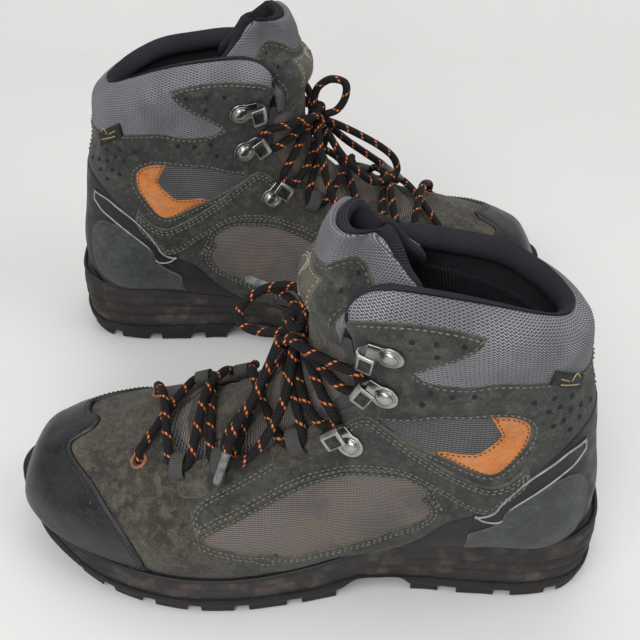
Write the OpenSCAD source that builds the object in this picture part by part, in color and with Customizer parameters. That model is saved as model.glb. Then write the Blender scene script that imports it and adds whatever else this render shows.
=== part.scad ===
// A pair of laced mountaineering boots, left boot in front and right boot behind it.
// One boot is described in its own frame: X runs from heel to toe, Y to the outer side, Z up.

/* [Boot] */
// Length of the sole from heel to toe
sole_length = 300; // [285:1:315]
// Width of the sole across the ball of the foot
ball_width = 110; // [104:1:116]
// Height of the collar rim on the outer side, above the ground
rim_height = 190; // [180:1:200]

/* [Leather and padding] */
// Thickness of the suede panels
suede_t = 1.6; // [1.2:0.1:2]
// Thickness of the membrane lining
lining_t = 1.2; // [0.8:0.1:1.4]
// Padding of the upper round the foot, from the suede to the inner face
foot_pad = 4.4; // [4:0.1:5]
// Padding of the collar, from the knit to the inner face
collar_pad = 11; // [9:0.5:12]
// Thickness of the padded tongue
tongue_t = 7; // [5:0.5:8]

/* [Sole] */
// Depth of the tread grooves
tread_depth = 6; // [4:0.5:7]
// Thickness of the lasting board
board_t = 2.2; // [1.5:0.1:3]
// Thickness of the removable footbed
footbed_t = 5; // [3:0.5:6]

/* [Laces and hooks] */
// Diameter of the round lace
lace_d = 4.6; // [4:0.1:5]
// Diameter of an aglet
aglet_d = 4.8; // [4.2:0.1:5.2]
// Diameter of a hook rivet's head
rivet_d = 8.5; // [7:0.5:9.5]

/* [Pair] */
// Place of the left heel, X and Y
left_heel = [148.5, -106.5];
// Place of the right heel, X and Y
right_heel = [-149.5, 85.5];
// Turn of the left boot about its heel
left_yaw = -6.4; // [-8:0.1:-4]
// Turn of the right boot about its heel
right_yaw = 3.7; // [2:0.1:6]

/* [Hidden] */
$fn = 40;

kx = sole_length / 300;
ky = ball_width / 110;
kz = rim_height / 190;

// Sections of the upper, from the toe tip (0) over the ball (5 to 7), the instep (8 to 10) and
// the heel (11) up to the collar rim (18); 19 to 21 are the top of the tongue. Each row holds the
// top point X, Z, the bottom or heel point X, Z, the outer and inner half widths, the height share
// of the widest place, the roundness above and below it, and the rise of the rim at the side.
SECTIONS = [
    [299, 32, 300, 29,  2,  2, 0.45, 2.0, 2.0, 0],
    [290, 49, 297, 23, 22, 20, 0.35, 2.1, 2.6, 0],
    [279, 56, 289, 21, 33, 28, 0.30, 2.2, 3.2, 0],
    [262, 62, 273, 19, 43, 36, 0.28, 2.2, 3.8, 0],
    [241, 68, 250, 18, 52, 42, 0.26, 2.2, 4.2, 0],
    [217, 76, 222, 18, 59, 45, 0.25, 2.2, 4.5, 0],
    [194, 86, 192, 18, 61, 44, 0.25, 2.2, 4.5, 0],
    [173, 98, 160, 19, 55, 39, 0.28, 2.2, 5.0, 0],
    [158, 112, 125, 24, 46, 36, 0.32, 2.2, 5.5, 0],
    [150, 125, 90, 31, 41, 35, 0.38, 2.3, 6.0, 0],
    [147, 137, 50, 36, 41, 35, 0.42, 2.3, 5.0, 0],
    [146, 147, 14, 38, 41, 35, 0.44, 2.3, 3.4, 0],
    [146, 155, 7, 62, 40, 35, 0.46, 2.3, 2.5, 0],
    [146, 161, 12, 92, 39, 35, 0.48, 2.3, 2.3, 1],
    [146, 166, 17, 120, 38, 35, 0.50, 2.3, 2.2, 3],
    [146, 170, 22, 136, 38, 34, 0.50, 2.3, 2.1, 6],
    [147, 174, 25, 152, 39, 34, 0.50, 2.3, 2.1, 9],
    [147, 179, 28, 164, 38, 33, 0.50, 2.3, 2.1, 13],
    [144, 183, 35, 172, 31, 28, 0.50, 2.3, 2.1, 16],
    [143, 194, 60, 192, 24, 23, 0.50, 2.2, 2.1, 10],
    [139, 206, 62, 204, 24, 23, 0.50, 2.2, 2.1, 6],
    [134, 216, 64, 216, 24, 23, 0.50, 2.2, 2.1, 0]];
inner_rise = 0.4;   // the rim's rise on the inner side, as a share of the outer side's
rim = 18;           // section of the collar rim
heel = 11.3;        // section where the upper closes round the back of the heel
throat_front = 4.8; // section where the lace opening starts
fold = 13.5;        // section of the tongue flap's fold
bed_z = 4;          // height of the upper's lower edge above the section's bottom point
skin_gap = 0.4;     // clearance under the pieces that lie on the upper

// Padding from the outer face to the inner face, by section.
PAD = [[0, foot_pad], [9, foot_pad], [12, 7], [14, 9], [16, collar_pad], [17, collar_pad],
    [18, collar_pad - 2], [21, collar_pad - 2]];
// Half angle of the lace opening, by section.
THROAT = [[4.8, 4], [5.2, 20], [6.3, 29], [8.4, 38], [10, 45], [13, 49], [17, 47], [18, 50]];
// Half angle of the tongue, by section; it widens above the rim and rounds off at the top.
TONGUE = [[4.9, 2], [5.4, 17], [6.3, 25], [8.4, 34], [10, 41], [13, 44], [18, 44], [19, 58],
    [20, 60], [20.6, 48], [21, 30]];

function mix4(a, b, c, d, t) = 0.5 * (2 * b + (c - a) * t + (2 * a - 5 * b + 4 * c - d) * t * t
    + (3 * b - a - 3 * c + d) * t * t * t);
function section(u, rows = SECTIONS) =
    let (last = len(rows) - 1, i = max(0, min(floor(u), last - 1)), t = u - i)
    [for (k = [0 : len(rows[0]) - 1]) mix4(rows[max(i - 1, 0)][k], rows[i][k], rows[i + 1][k],
        rows[min(i + 2, last)][k], t)];
function power(v, e) = sign(v) * pow(abs(v), e);
// Point of the upper's outer face at section u and angle a: 0 is the throat, 90 the outer side,
// 180 the sole or the back of the heel, 270 the inner side.
function skin(u, a) =
    let (q = section(u), c = cos(a), s = sin(a), n = c >= 0 ? q[7] : q[8],
        up = power(c, 2 / n), side = power(s, 2 / n),
        h = up >= 0 ? q[6] + (1 - q[6]) * up : q[6] * (1 + up),
        w = side >= 0 ? q[4] : q[5], rise = q[9] * s * s * (side >= 0 ? 1 : inner_rise))
    [kx * (q[2] + (q[0] - q[2]) * h), ky * w * side, kz * (q[3] + (q[1] - q[3]) * h + rise)];
function unit(v) = v / norm(v);
function normal(u, a) =
    let (last = len(SECTIONS) - 1, u0 = max(u - 0.05, 0), u1 = min(u + 0.05, last))
    unit(cross(skin(u, a + 3) - skin(u, a - 3), skin(u1, a) - skin(u0, a)));
function skin_at(u, a, off) = skin(u, a) + off * normal(u, a);
function pad(u) = lookup(u, PAD);
// Angle at which the upper meets the sole.
function foot_angle(u) =
    let (v = min(max(u, 1), 11), q = section(v), h = bed_z / (q[1] - q[3]) / q[6],
        a = acos(-pow(1 - h, q[8] / 2)))
    u <= 11 ? a : min(180, a + (180 - a) * (u - 11) / (heel - 11));

// Thick sheet over the upper. where(a, b) gives [section, angle] for a and b from 0 to 1, and
// outer and inner give the offsets of its two faces by section and angle.
module shell(rows, columns, where, outer, inner) {
    n = rows + 1;
    m = columns + 1;
    function at(a, b, off) = let (p = where(a, b)) skin_at(p[0], p[1], off(p[0], p[1]));
    points = [for (off = [outer, inner], i = [0 : rows], j = [0 : columns])
        at(i / rows, j / columns, off)];
    function o(i, j) = i * m + j;
    function q(i, j) = (n + i) * m + j;
    faces = concat(
        [for (i = [0 : rows - 1], j = [0 : columns - 1], k = [0, 1]) k == 0
            ? [o(i, j), o(i + 1, j), o(i + 1, j + 1)] : [o(i, j), o(i + 1, j + 1), o(i, j + 1)]],
        [for (i = [0 : rows - 1], j = [0 : columns - 1], k = [0, 1]) k == 0
            ? [q(i, j), q(i + 1, j + 1), q(i + 1, j)] : [q(i, j), q(i, j + 1), q(i + 1, j + 1)]],
        [for (j = [0 : columns - 1], k = [0, 1]) k == 0
            ? [o(0, j), o(0, j + 1), q(0, j + 1)] : [o(0, j), q(0, j + 1), q(0, j)]],
        [for (j = [0 : columns - 1], k = [0, 1]) k == 0
            ? [o(rows, j), q(rows, j + 1), o(rows, j + 1)] : [o(rows, j), q(rows, j), q(rows, j + 1)]],
        [for (i = [0 : rows - 1], k = [0, 1]) k == 0
            ? [o(i, 0), q(i, 0), q(i + 1, 0)] : [o(i, 0), q(i + 1, 0), o(i + 1, 0)]],
        [for (i = [0 : rows - 1], k = [0, 1]) k == 0
            ? [o(i, columns), q(i + 1, columns), q(i, columns)]
            : [o(i, columns), o(i + 1, columns), q(i + 1, columns)]]);
    polyhedron(points, faces);
}

// Round cord along a list of points.
module cord(path, d, sides = 8) {
    last = len(path) - 1;
    function along(i) = unit(path[min(i + 1, last)] - path[max(i - 1, 0)]);
    function square(s, t) = unit(s - (s * t) * t);
    function frames(i, s) = i > last ? [] : let (v = square(s, along(i))) concat([v], frames(i + 1, v));
    starts = frames(0, cross(along(0), abs(along(0)[2]) < 0.8 ? [0, 0, 1] : [0, 1, 0]));
    points = [for (i = [0 : last], k = [0 : sides - 1])
        let (v = starts[i], w = cross(along(i), v), a = 360 * k / sides)
        path[i] + d / 2 * (cos(a) * v + sin(a) * w)];
    faces = concat(
        [[for (k = [0 : sides - 1]) k]],
        [[for (k = [sides - 1 : -1 : 0]) last * sides + k]],
        [for (i = [0 : last - 1], k = [0 : sides - 1], h = [0, 1])
            let (a = i * sides + k, b = i * sides + (k + 1) % sides)
            h == 0 ? [a, a + sides, b + sides] : [a, b + sides, b]]);
    polyhedron(points, faces);
}
// The same list with one smooth point added in the middle of each stretch.
function smooth(p) = let (last = len(p) - 1)
    [for (i = [0 : last], k = [0, 1]) if (i < last || k == 0)
        k == 0 ? p[i] : mix4(p[max(i - 1, 0)], p[i], p[i + 1], p[min(i + 2, last)], 0.5)];

// Puts a piece on the upper: Z points out of it, X runs round it towards the throat.
module on_skin(u, a, off = 0) {
    z = normal(u, a);
    side = a > 180 ? -1 : 1;
    x0 = side * (skin(u, a - 3) - skin(u, a + 3));
    x = unit(x0 - (x0 * z) * z);
    y = cross(z, x);
    p = skin_at(u, a, off);
    multmatrix([[x[0], y[0], z[0], p[0]], [x[1], y[1], z[1], p[1]], [x[2], y[2], z[2], p[2]],
        [0, 0, 0, 1]]) children();
}

// Sole outline, outer side from the heel to the toe and back along the inner side.
OUTLINE = [[2, 14], [11, 28], [32, 36], [62, 38.5], [90, 39], [115, 43], [145, 53], [175, 61],
    [203, 64], [230, 61], [255, 53], [277, 39], [292, 23], [301, 7], [300, -8], [291, -23],
    [273, -36], [248, -45], [218, -49], [190, -48], [160, -42], [125, -38], [90, -37], [55, -37],
    [28, -33], [10, -25], [2, -11]];
function outline_point(i, t) = let (n = len(OUTLINE), p = [for (k = [-1 : 2]) OUTLINE[(i + k + n) % n]])
    let (v = mix4(p[0], p[1], p[2], p[3], t)) [kx * v[0], ky * v[1]];
module sole_outline() polygon([for (i = [0 : len(OUTLINE) - 1], t = [0, 0.5]) outline_point(i, t)]);
// Prism with the side view given as X, Z points, wide enough for any part of the sole.
module side_prism(points) rotate([90, 0, 0]) linear_extrude(160, center = true)
    polygon([for (p = points) [kx * p[0], kz * p[1]]]);

// Sections at which the upper meets the sole, and that edge in the side view.
edge_us = [0.3, 1, 2, 3, 4, 5, 6, 7, 8, 9, 10, 11, heel];
bed_line = [for (u = edge_us) let (p = skin(u, foot_angle(u))) [p[0] / kx, p[2] / kz - 0.6]];
// Lower faces of the midsole and the outsole in the side view, heel first.
tread_top = [[0, 15], [10, 11], [95, 11], [118, 14], [140, 10], [235, 9], [262, 11], [282, 16],
    [294, 23], [303, 32]];
ground = [[0, 12], [5, 3], [14, 0], [92, 0], [98, 7], [120, 8], [128, 0], [238, 0], [262, 3],
    [281, 9], [294, 17], [303, 27]];
// Tread grooves right across the sole, as X of the centre and width.
heel_grooves = [[20, 6], [45, 8], [73, 9]];
ball_grooves = [[150, 7], [176, 7], [200, 7], [224, 7], [246, 6]];
toe_grooves = [[265, 6], [280, 6]];

function reversed(p) = [for (i = [len(p) - 1 : -1 : 0]) p[i]];

module outsole() color("#1b1b1d") difference() {
    intersection() {
        linear_extrude(40 * kz) sole_outline();
        side_prism(concat(ground, reversed(tread_top)));
    }
    for (g = concat(heel_grooves, ball_grooves))
        translate([kx * g[0] - g[1] / 2, -90, -1]) cube([g[1], 180, tread_depth + 1]);
    for (g = toe_grooves)
        translate([kx * g[0] - g[1] / 2, -90, -1]) cube([g[1], 180, tread_depth + (g[0] - 252) / 3]);
    translate([kx * 24, -5, -1]) cube([kx * 60, 10, tread_depth + 1]);
    translate([kx * 140, -6, -1]) cube([kx * 110, 12, tread_depth]);
}

module midsole() color("#463f3b") difference() {
    intersection() {
        linear_extrude(60 * kz) sole_outline();
        side_prism(concat(tread_top, [[303, 33]], bed_line, [[0, 42]]));
    }
    shank_space(0.2);
}
module shank_space(gap) translate([kx * 60 - gap, -11 - gap, 15 - gap])
    cube([kx * 100 + 2 * gap, 22 + 2 * gap, 1.6 + 2 * gap]);
module shank() color("#8f9296") shank_space(0);

// Flat layer on the sole between the two inner faces of the upper, and its clearance from them.
module sole_layer(us, gap, low, high) {
    last = len(us) - 1;
    function edge(u, side) =
        let (p = skin_at(u, side > 0 ? foot_angle(u) : 360 - foot_angle(u), -pad(u) - gap))
        [p[0], p[1], skin(u, foot_angle(u))[2]];
    points = [for (u = us, k = [0 : 3])
        edge(u, k < 2 ? 1 : -1) + [0, 0, k == 0 || k == 3 ? low : high]];
    faces = concat([[3, 2, 1, 0]], [[for (k = [0 : 3]) last * 4 + k]],
        [for (i = [0 : last - 1], k = [0 : 3], h = [0, 1])
            let (a = i * 4 + k, b = i * 4 + (k + 1) % 4)
            h == 0 ? [a, b + 4, a + 4] : [a, b, b + 4]]);
    polyhedron(points, faces);
}
BOARD = [1.2, 2, 3, 4, 5, 6, 7, 8, 9, 10, 10.6, 11, 11.12, 11.2];
board_gap = 0.9;
module lasting_board() color("#8c8174") sole_layer(BOARD, 0.5, board_gap, board_gap + board_t);
module footbed() color("#3c4046")
    sole_layer([for (u = BOARD) if (u < 11.05) u], 3, board_gap + board_t + 0.6,
        board_gap + board_t + 0.6 + footbed_t);

// Rear edge of the toe cap, as a section for each angle from the top centre.
CAP = [[0, 3.1], [8, 3.05], [16, 2.65], [24, 2.65], [50, 4.0], [80, 4.6], [110, 5.1], [140, 5.2]];
function from_top(a) = a > 180 ? 360 - a : abs(a);
function cap_edge(a) = lookup(from_top(a), CAP);
module toe_cap() color("#2a2b2e") shell(7, 20,
    function(a, b) let (t = 2 * b - 1, u = a * cap_edge(120 * t)) [u, t * (foot_angle(u) - 6)],
    function(u, a) 2.1, function(u, a) skin_gap);
module toe_puff() color("#6e6a64") shell(4, 20,
    function(a, b) let (u = 0.2 + 2.7 * a, t = 2 * b - 1) [u, t * foot_angle(u)],
    function(u, a) -suede_t - 0.4, function(u, a) -suede_t - 1.8);

module vamp() color("#645f52") difference() {
    shell(7, 20, function(a, b) let (u = (throat_front - 0.05) * a) [u, (2 * b - 1) * foot_angle(u)],
        function(u, a) 0, function(u, a) -suede_t);
    for (side = [1, -1]) on_skin(4.5, side * 24.5) cylinder(d = lace_d + 0.8, h = 8, center = true);
}

// Suede side panel from the lace opening to the sole and the back of the heel.
quarter_top = 15.7;
// Rows of sections that follow the bend of the heel.
ROWS = [5.5, 6.3, 7.1, 8, 9, 10, 10.6, 11, heel, 12, 13, 14, 15];
QUARTER_ROWS = concat([throat_front], ROWS, [quarter_top]);
LINING_ROWS = concat([throat_front + 0.1], ROWS, [16, 17, rim]);
function row(rows, a) = rows[round(a * (len(rows) - 1))];
module quarter(side) shell(len(QUARTER_ROWS) - 1, 11,
    function(a, b) let (u = row(QUARTER_ROWS, a),
        t = lookup(u, THROAT), g = t + (foot_angle(u) - t) * b - (u > 11 ? 0.4 * b : 0))
        [u, side > 0 ? g : 360 - g],
    function(u, a) side > 0 ? 0 : -suede_t, function(u, a) side > 0 ? -suede_t : 0);
module quarter_outer() color("#4b504b") quarter(1);
module quarter_inner() color("#4b504b") quarter(-1);

module heel_counter() color("#7a746c") shell(5, 14,
    function(a, b) let (u = 11.4 + 2.6 * a) [u, 120 + 120 * b],
    function(u, a) -suede_t - 0.6, function(u, a) -suede_t - 2.2);

// Upper and lower edge of the moulded heel frame, from the sole in front of the heel up to the
// middle of the back, as section and angle.
FRAME_TOP = smooth([[8.9, 126], [9.6, 98], [10.7, 92], [11.6, 97], [12.5, 112], [13.3, 130],
    [13.9, 154], [14.05, 180]]);
FRAME_LOW = smooth([[9.6, 129], [10, 108], [10.6, 100], [11.4, 102], [12, 114], [12.6, 128],
    [13.05, 152], [13.15, 180]]);
frame_last = len(FRAME_TOP) - 1;
module heel_frame() color("#232427") shell(2 * frame_last, 2,
    function(a, b) let (i = round(2 * frame_last * a), k = frame_last - abs(i - frame_last),
        p = FRAME_LOW[k] + b * (FRAME_TOP[k] - FRAME_LOW[k])) [p[0], i < frame_last ? 360 - p[1] : p[1]],
    function(u, a) 2.4, function(u, a) skin_gap);
module heel_patch() color("#4f5a5c") shell(3, 12,
    function(a, b) [11.55 + 0.9 * a, 138 + 84 * b],
    function(u, a) 1.4, function(u, a) skin_gap);
// Orange V-shaped inserts of the ankle flex zone, one on each side.
INSERT_OUTER = [[11.45, 78], [11.6, 90], [12.6, 105], [13.45, 117], [14, 109], [13.85, 99]];
INSERT_INNER = [[11.95, 79], [12.1, 89], [12.75, 99], [13.3, 106], [13.45, 104], [13.4, 100]];
module ankle_insert() color("#c87832") for (side = [1, -1]) shell(5, 2,
    function(a, b) let (i = round(5 * a), p = INSERT_OUTER[i] + b * (INSERT_INNER[i] - INSERT_OUTER[i]))
        [p[0], side > 0 ? p[1] : 360 - p[1]],
    function(u, a) side > 0 ? skin_gap : 1.4, function(u, a) side > 0 ? 1.4 : skin_gap);

module collar() color("#87878c") shell(4, 24,
    function(a, b) let (u = quarter_top + 0.05 + (rim - quarter_top - 0.05) * a,
        t = lookup(u, THROAT)) [u, t + (360 - 2 * t) * b],
    function(u, a) 0, function(u, a) -pad(u) + lining_t + 0.5);
module lining() color("#1e1c22") for (side = [1, -1]) shell(len(LINING_ROWS) - 1, 10,
    function(a, b) let (u = row(LINING_ROWS, a),
        t = lookup(u, THROAT), g = t + (foot_angle(u) - 0.2 - t) * b) [u, side > 0 ? g : 360 - g],
    function(u, a) -pad(u) + (side > 0 ? lining_t : 0),
    function(u, a) -pad(u) + (side > 0 ? 0 : lining_t));

function tongue_out(u) = lookup(u, [[4.9, -1.6], [6, -0.5], [21, 0]]);
function tongue_in(u) = tongue_out(u) - lookup(u, [[4.9, 2.5], [6, 5], [9, tongue_t],
    [13, tongue_t + 2], [20, tongue_t + 2], [21, 4]]);
module tongue() color("#5a554c") shell(10, 6,
    function(a, b) let (u = 4.95 + (fold - 5.0) * a) [u, lookup(u, TONGUE) * (2 * b - 1)],
    function(u, a) tongue_out(u), function(u, a) tongue_in(u));
module tongue_flap() color("#87878c") shell(12, 8,
    function(a, b) let (u = fold + 0.1 + (21 - fold - 0.1) * a) [u, lookup(u, TONGUE) * (2 * b - 1)],
    function(u, a) tongue_out(u), function(u, a) tongue_in(u));
module tongue_badge() color("#6b6350") shell(4, 4,
    function(a, b) [15.6 + 2.2 * a, 26 * (2 * b - 1)],
    function(u, a) 1.6, function(u, a) skin_gap);

OVERLAY_REACH = [[0, 20], [0.4, 26], [0.65, 50], [1, 34]];
module hook_overlays() color("#4b504b") for (side = [1, -1]) shell(5, 5,
    function(a, b) let (u = 14.7 + 2.2 * a, g = lookup(u, THROAT) + 1 + lookup(a, OVERLAY_REACH) * b)
        [u, side > 0 ? g : 360 - g],
    function(u, a) side > 0 ? 1.6 : skin_gap, function(u, a) side > 0 ? skin_gap : 1.6);

// Places of the hooks, as section, angle and height of the face below: two on the cuff, of which
// the upper one sits on the overlay, and one on the instep.
CUFF_HOOKS = [[15.3, 69, 1.7], [12.9, 63, 0.1]];
INSTEP_HOOK = [9.8, 58.5, 0.1];
hook_base_t = 1.2;
// Open hook: a base plate and a tongue of plate bent up and back over it.
module open_hook(width, reach) {
    difference() {
        union() {
            cylinder(d = rivet_d + 3, h = hook_base_t);
            translate([0, -width / 2, 0]) cube([reach, width, hook_base_t]);
        }
        translate([0, 0, -1]) cylinder(d = 3.2, h = 4);
    }
    rotate([90, 0, 0]) linear_extrude(width, center = true) polygon([[reach - 1, 0],
        [reach + 0.6, 0], [reach + 3.2, 5], [reach + 2.2, 8], [reach - 5, 8.6], [reach - 5, 7.3],
        [reach + 1.2, 6.8], [reach + 1.8, 5.2], [reach - 0.6, 1]]);
}
module cuff_hooks() color("silver") for (side = [1, -1], h = CUFF_HOOKS)
    on_skin(h[0], side * h[1], h[2]) open_hook(9, 9.5);
module instep_hooks() color("silver") for (side = [1, -1])
    on_skin(INSTEP_HOOK[0], side * INSTEP_HOOK[1], INSTEP_HOOK[2]) open_hook(10, 9);
module hook_rivets() color("#c9c9cc") for (side = [1, -1], h = concat(CUFF_HOOKS, [INSTEP_HOOK]))
    on_skin(h[0], side * h[1], h[2] + hook_base_t) {
        cylinder(d1 = rivet_d, d2 = rivet_d - 3, h = 1.8);
        translate([0, 0, -hook_base_t + 0.05]) cylinder(d = 3.1, h = 2);
    }

// Webbing loops that the lace runs through, below the hooks.
LOOPS = [[5.5, 30], [6.4, 32], [8.3, 42]];
loop_gap = 0.5;  // clearance under a loop, which lies flat on the curved leather
module lace_loops() color("#8a8a90") for (side = [1, -1], p = LOOPS)
    on_skin(p[0], side * p[1], loop_gap) difference() {
        translate([-5, -4, 0]) cube([12, 8, lace_d + 2.8]);
        translate([-3.6, -5, 1.2]) cube([9.2, 10, lace_d + 0.4]);
    }
module toe_eyelets() color("#8a5a34") for (side = [1, -1]) on_skin(4.5, side * 24.5, 0.1)
    difference() {
        cylinder(d = lace_d + 5, h = 1.1);
        translate([0, 0, -1]) cylinder(d = lace_d + 0.6, h = 4);
    }

// Lace from the outer toe eyelet, criss-cross over the tongue to the inner upper hook, as
// section, angle and height over the upper. The other half mirrors it and crosses over it.
LACE = [[4.5, 24.5, -1], [4.55, 21, 4], [4.8, 10, 5.3], [5, 0, 5.3], [5.2, -16, 4.3], [5.33, -28, 3.8],
    [5.67, -30, 3.8], [5.85, -20, 4.5], [6, 0, 5.3], [6.13, 20, 4.5], [6.24, 30, 3.8],
    [6.57, 32, 3.8], [6.8, 26, 4.5], [7.3, 0, 5.3], [7.8, -32, 4.5], [8.1, -41, 3.8],
    [8.5, -43, 3.8], [8.75, -30, 4.5], [9.1, 0, 5.3], [9.3, 30, 4.8], [9.5, 45, 4.2],
    [10.1, 46, 4.2], [10.5, 32, 4.8], [11, 0, 5.3], [11.8, -38, 4.8], [12.4, -51, 4.2],
    [13.4, -53, 4.2], [13.2, -42, 6], [12, -18, 7]];
crossing_step = 5.4;
function lace_point(p, side) = let (h = side > 0 ? 0 : crossing_step * max(0, cos(3 * p[1])))
    skin_at(p[0], side * p[1], p[2] + (abs(p[1]) < 30 ? h : 0));
KNOT = [153, 3, 143];
knot_d = 13;
function knot_at() = [kx * KNOT[0], ky * KNOT[1], kz * KNOT[2]];
module lacing() color("#1d1b1c") {
    for (side = [1, -1]) cord(smooth([for (p = LACE) lace_point(p, side)]), lace_d);
    translate(knot_at()) sphere(d = knot_d, $fn = 12);
}

// Free ends of the laces, from the knot and back to it, in the boot's own frame.
LEFT_LOOPS = [
    [[158, -2, 139], [166, -5, 134], [176, -10, 130], [183, -16, 129], [184, -23, 131],
        [179, -28, 135], [170, -30, 140], [158, -26, 145], [152, -16, 147], [152, -5, 147]],
    [[154, 9, 139], [155, 18, 127], [158, 27, 117], [164, 35, 106], [171, 39, 97], [177, 41, 94],
        [182, 37, 95], [183, 31, 99], [179, 25, 105], [172, 20, 114], [164, 14, 128], [159, 9, 139]]];
RIGHT_LOOPS = [
    [[153, 2, 149], [153, 0, 155], [156, -1, 161], [163, -1, 165], [171, -1, 162],
        [171, 1, 154], [166, 3, 147], [159, 4, 145]],
    [[159, 0, 139], [168, -3, 133], [180, -5, 125], [194, -6, 115], [203, -6, 106], [205, -3, 98],
        [198, 4, 98], [189, 12, 101], [180, 15, 110], [168, 13, 123], [159, 9, 138]]];
LEFT_TAILS = [
    [[154, -4, 143], [154, -11, 142], [157, -19, 140], [162, -27, 138], [170, -35, 135]],
    [[160, 5, 142], [165, 15, 131], [171, 24, 119], [178, 32, 109], [181, 40, 100]]];
RIGHT_TAILS = [
    [[158, -3, 141], [163, -8, 130], [172, -12, 118], [184, -12, 108], [196, -11, 99]],
    [[154, 10, 143], [155, 21, 132], [158, 31, 118], [163, 40, 105], [167, 46, 96]]];
LEFT_AGLETS = [[184, -42, 134], [186, 46, 84]];
RIGHT_AGLETS = [[210, -10, 87], [173, 51, 82]];
function scaled(p) = [for (v = p) [kx * v[0], ky * v[1], kz * v[2]]];
module bow_loops(paths) color("#1d1b1c") for (p = paths) cord(smooth(scaled(p)), lace_d);
module lace_tails(paths) color("#1d1b1c") for (p = paths) cord(smooth(scaled(p)), lace_d);
module aglets(paths, ends) color("#b9bcc0") for (i = [0 : len(ends) - 1]) {
    from = scaled([paths[i][len(paths[i]) - 1]])[0];
    to = scaled([ends[i]])[0];
    cord([from, to], aglet_d, 12);
}
module label_tag() color("#101010") shell(3, 4,
    function(a, b) [15.05 + 0.55 * a, 133 + 22 * b],
    function(u, a) 1.4, function(u, a) skin_gap);

module left() translate([left_heel[0], left_heel[1], 0]) rotate(180 + left_yaw) children();
module right() translate([right_heel[0], right_heel[1], 0]) rotate(right_yaw) mirror([0, 1, 0])
    children();

left() outsole();  // left_outsole
left() midsole();  // left_midsole
left() shank();  // left_shank
left() lasting_board();  // left_lasting_board
left() footbed();  // left_footbed
left() toe_cap();  // left_toe_cap
left() toe_puff();  // left_toe_puff
left() vamp();  // left_vamp
left() quarter_outer();  // left_quarter_outer
left() quarter_inner();  // left_quarter_inner
left() heel_counter();  // left_heel_counter
left() heel_frame();  // left_heel_frame
left() heel_patch();  // left_heel_patch
left() ankle_insert();  // left_ankle_insert
left() collar();  // left_collar
left() lining();  // left_lining
left() tongue();  // left_tongue
left() tongue_flap();  // left_tongue_flap
left() tongue_badge();  // left_tongue_badge
left() hook_overlays();  // left_hook_overlays
left() cuff_hooks();  // left_cuff_hooks
left() instep_hooks();  // left_instep_hooks
left() hook_rivets();  // left_hook_rivets
left() lace_loops();  // left_lace_loops
left() toe_eyelets();  // left_toe_eyelets
left() lacing();  // left_lacing
left() bow_loops(LEFT_LOOPS);  // left_bow_loops
left() lace_tails(LEFT_TAILS);  // left_lace_tails
left() aglets(LEFT_TAILS, LEFT_AGLETS);  // left_aglets
left() label_tag();  // left_label_tag
right() outsole();  // right_outsole
right() midsole();  // right_midsole
right() shank();  // right_shank
right() lasting_board();  // right_lasting_board
right() footbed();  // right_footbed
right() toe_cap();  // right_toe_cap
right() toe_puff();  // right_toe_puff
right() vamp();  // right_vamp
right() quarter_outer();  // right_quarter_outer
right() quarter_inner();  // right_quarter_inner
right() heel_counter();  // right_heel_counter
right() heel_frame();  // right_heel_frame
right() heel_patch();  // right_heel_patch
right() ankle_insert();  // right_ankle_insert
right() collar();  // right_collar
right() lining();  // right_lining
right() tongue();  // right_tongue
right() tongue_flap();  // right_tongue_flap
right() tongue_badge();  // right_tongue_badge
right() hook_overlays();  // right_hook_overlays
right() cuff_hooks();  // right_cuff_hooks
right() instep_hooks();  // right_instep_hooks
right() hook_rivets();  // right_hook_rivets
right() lace_loops();  // right_lace_loops
right() toe_eyelets();  // right_toe_eyelets
right() lacing();  // right_lacing
right() bow_loops(RIGHT_LOOPS);  // right_bow_loops
right() lace_tails(RIGHT_TAILS);  // right_lace_tails
right() aglets(RIGHT_TAILS, RIGHT_AGLETS);  // right_aglets
right() label_tag();  // right_label_tag
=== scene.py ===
"""A pair of laced mountaineering boots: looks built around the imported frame."""

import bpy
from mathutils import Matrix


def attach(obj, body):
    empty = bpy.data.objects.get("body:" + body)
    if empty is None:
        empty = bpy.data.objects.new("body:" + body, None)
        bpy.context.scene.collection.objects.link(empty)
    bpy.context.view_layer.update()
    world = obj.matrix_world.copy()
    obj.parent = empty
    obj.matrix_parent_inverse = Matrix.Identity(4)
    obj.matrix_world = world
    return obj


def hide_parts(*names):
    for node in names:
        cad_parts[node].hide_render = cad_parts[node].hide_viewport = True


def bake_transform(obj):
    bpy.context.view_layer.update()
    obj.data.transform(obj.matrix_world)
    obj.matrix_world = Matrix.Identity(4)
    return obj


bl_info = {
    "name": "Mountaineering Boots",
    "version": (1, 0, 0),
    "blender": (4, 5, 0),
    "location": "3D View > Sidebar > Boots",
    "description": "Builds the uppers, soles, laces and hooks of a pair of mountaineering boots",
    "category": "Object",
}

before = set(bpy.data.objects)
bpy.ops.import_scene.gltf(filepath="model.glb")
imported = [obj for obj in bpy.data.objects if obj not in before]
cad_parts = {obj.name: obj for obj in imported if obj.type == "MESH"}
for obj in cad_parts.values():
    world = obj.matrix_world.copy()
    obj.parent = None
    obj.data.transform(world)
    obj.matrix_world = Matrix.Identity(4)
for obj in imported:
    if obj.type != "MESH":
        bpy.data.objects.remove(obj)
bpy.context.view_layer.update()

import math

import bpy
import numpy as np
from bpy.props import FloatProperty, FloatVectorProperty, PointerProperty
from mathutils import Vector, kdtree
from mathutils.geometry import delaunay_2d_cdt

SIDES = ("left", "right")
HEELS = {"left": ((148.5, -106.5), 173.6, 1), "right": ((-149.5, 85.5), 3.7, -1)}

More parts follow.
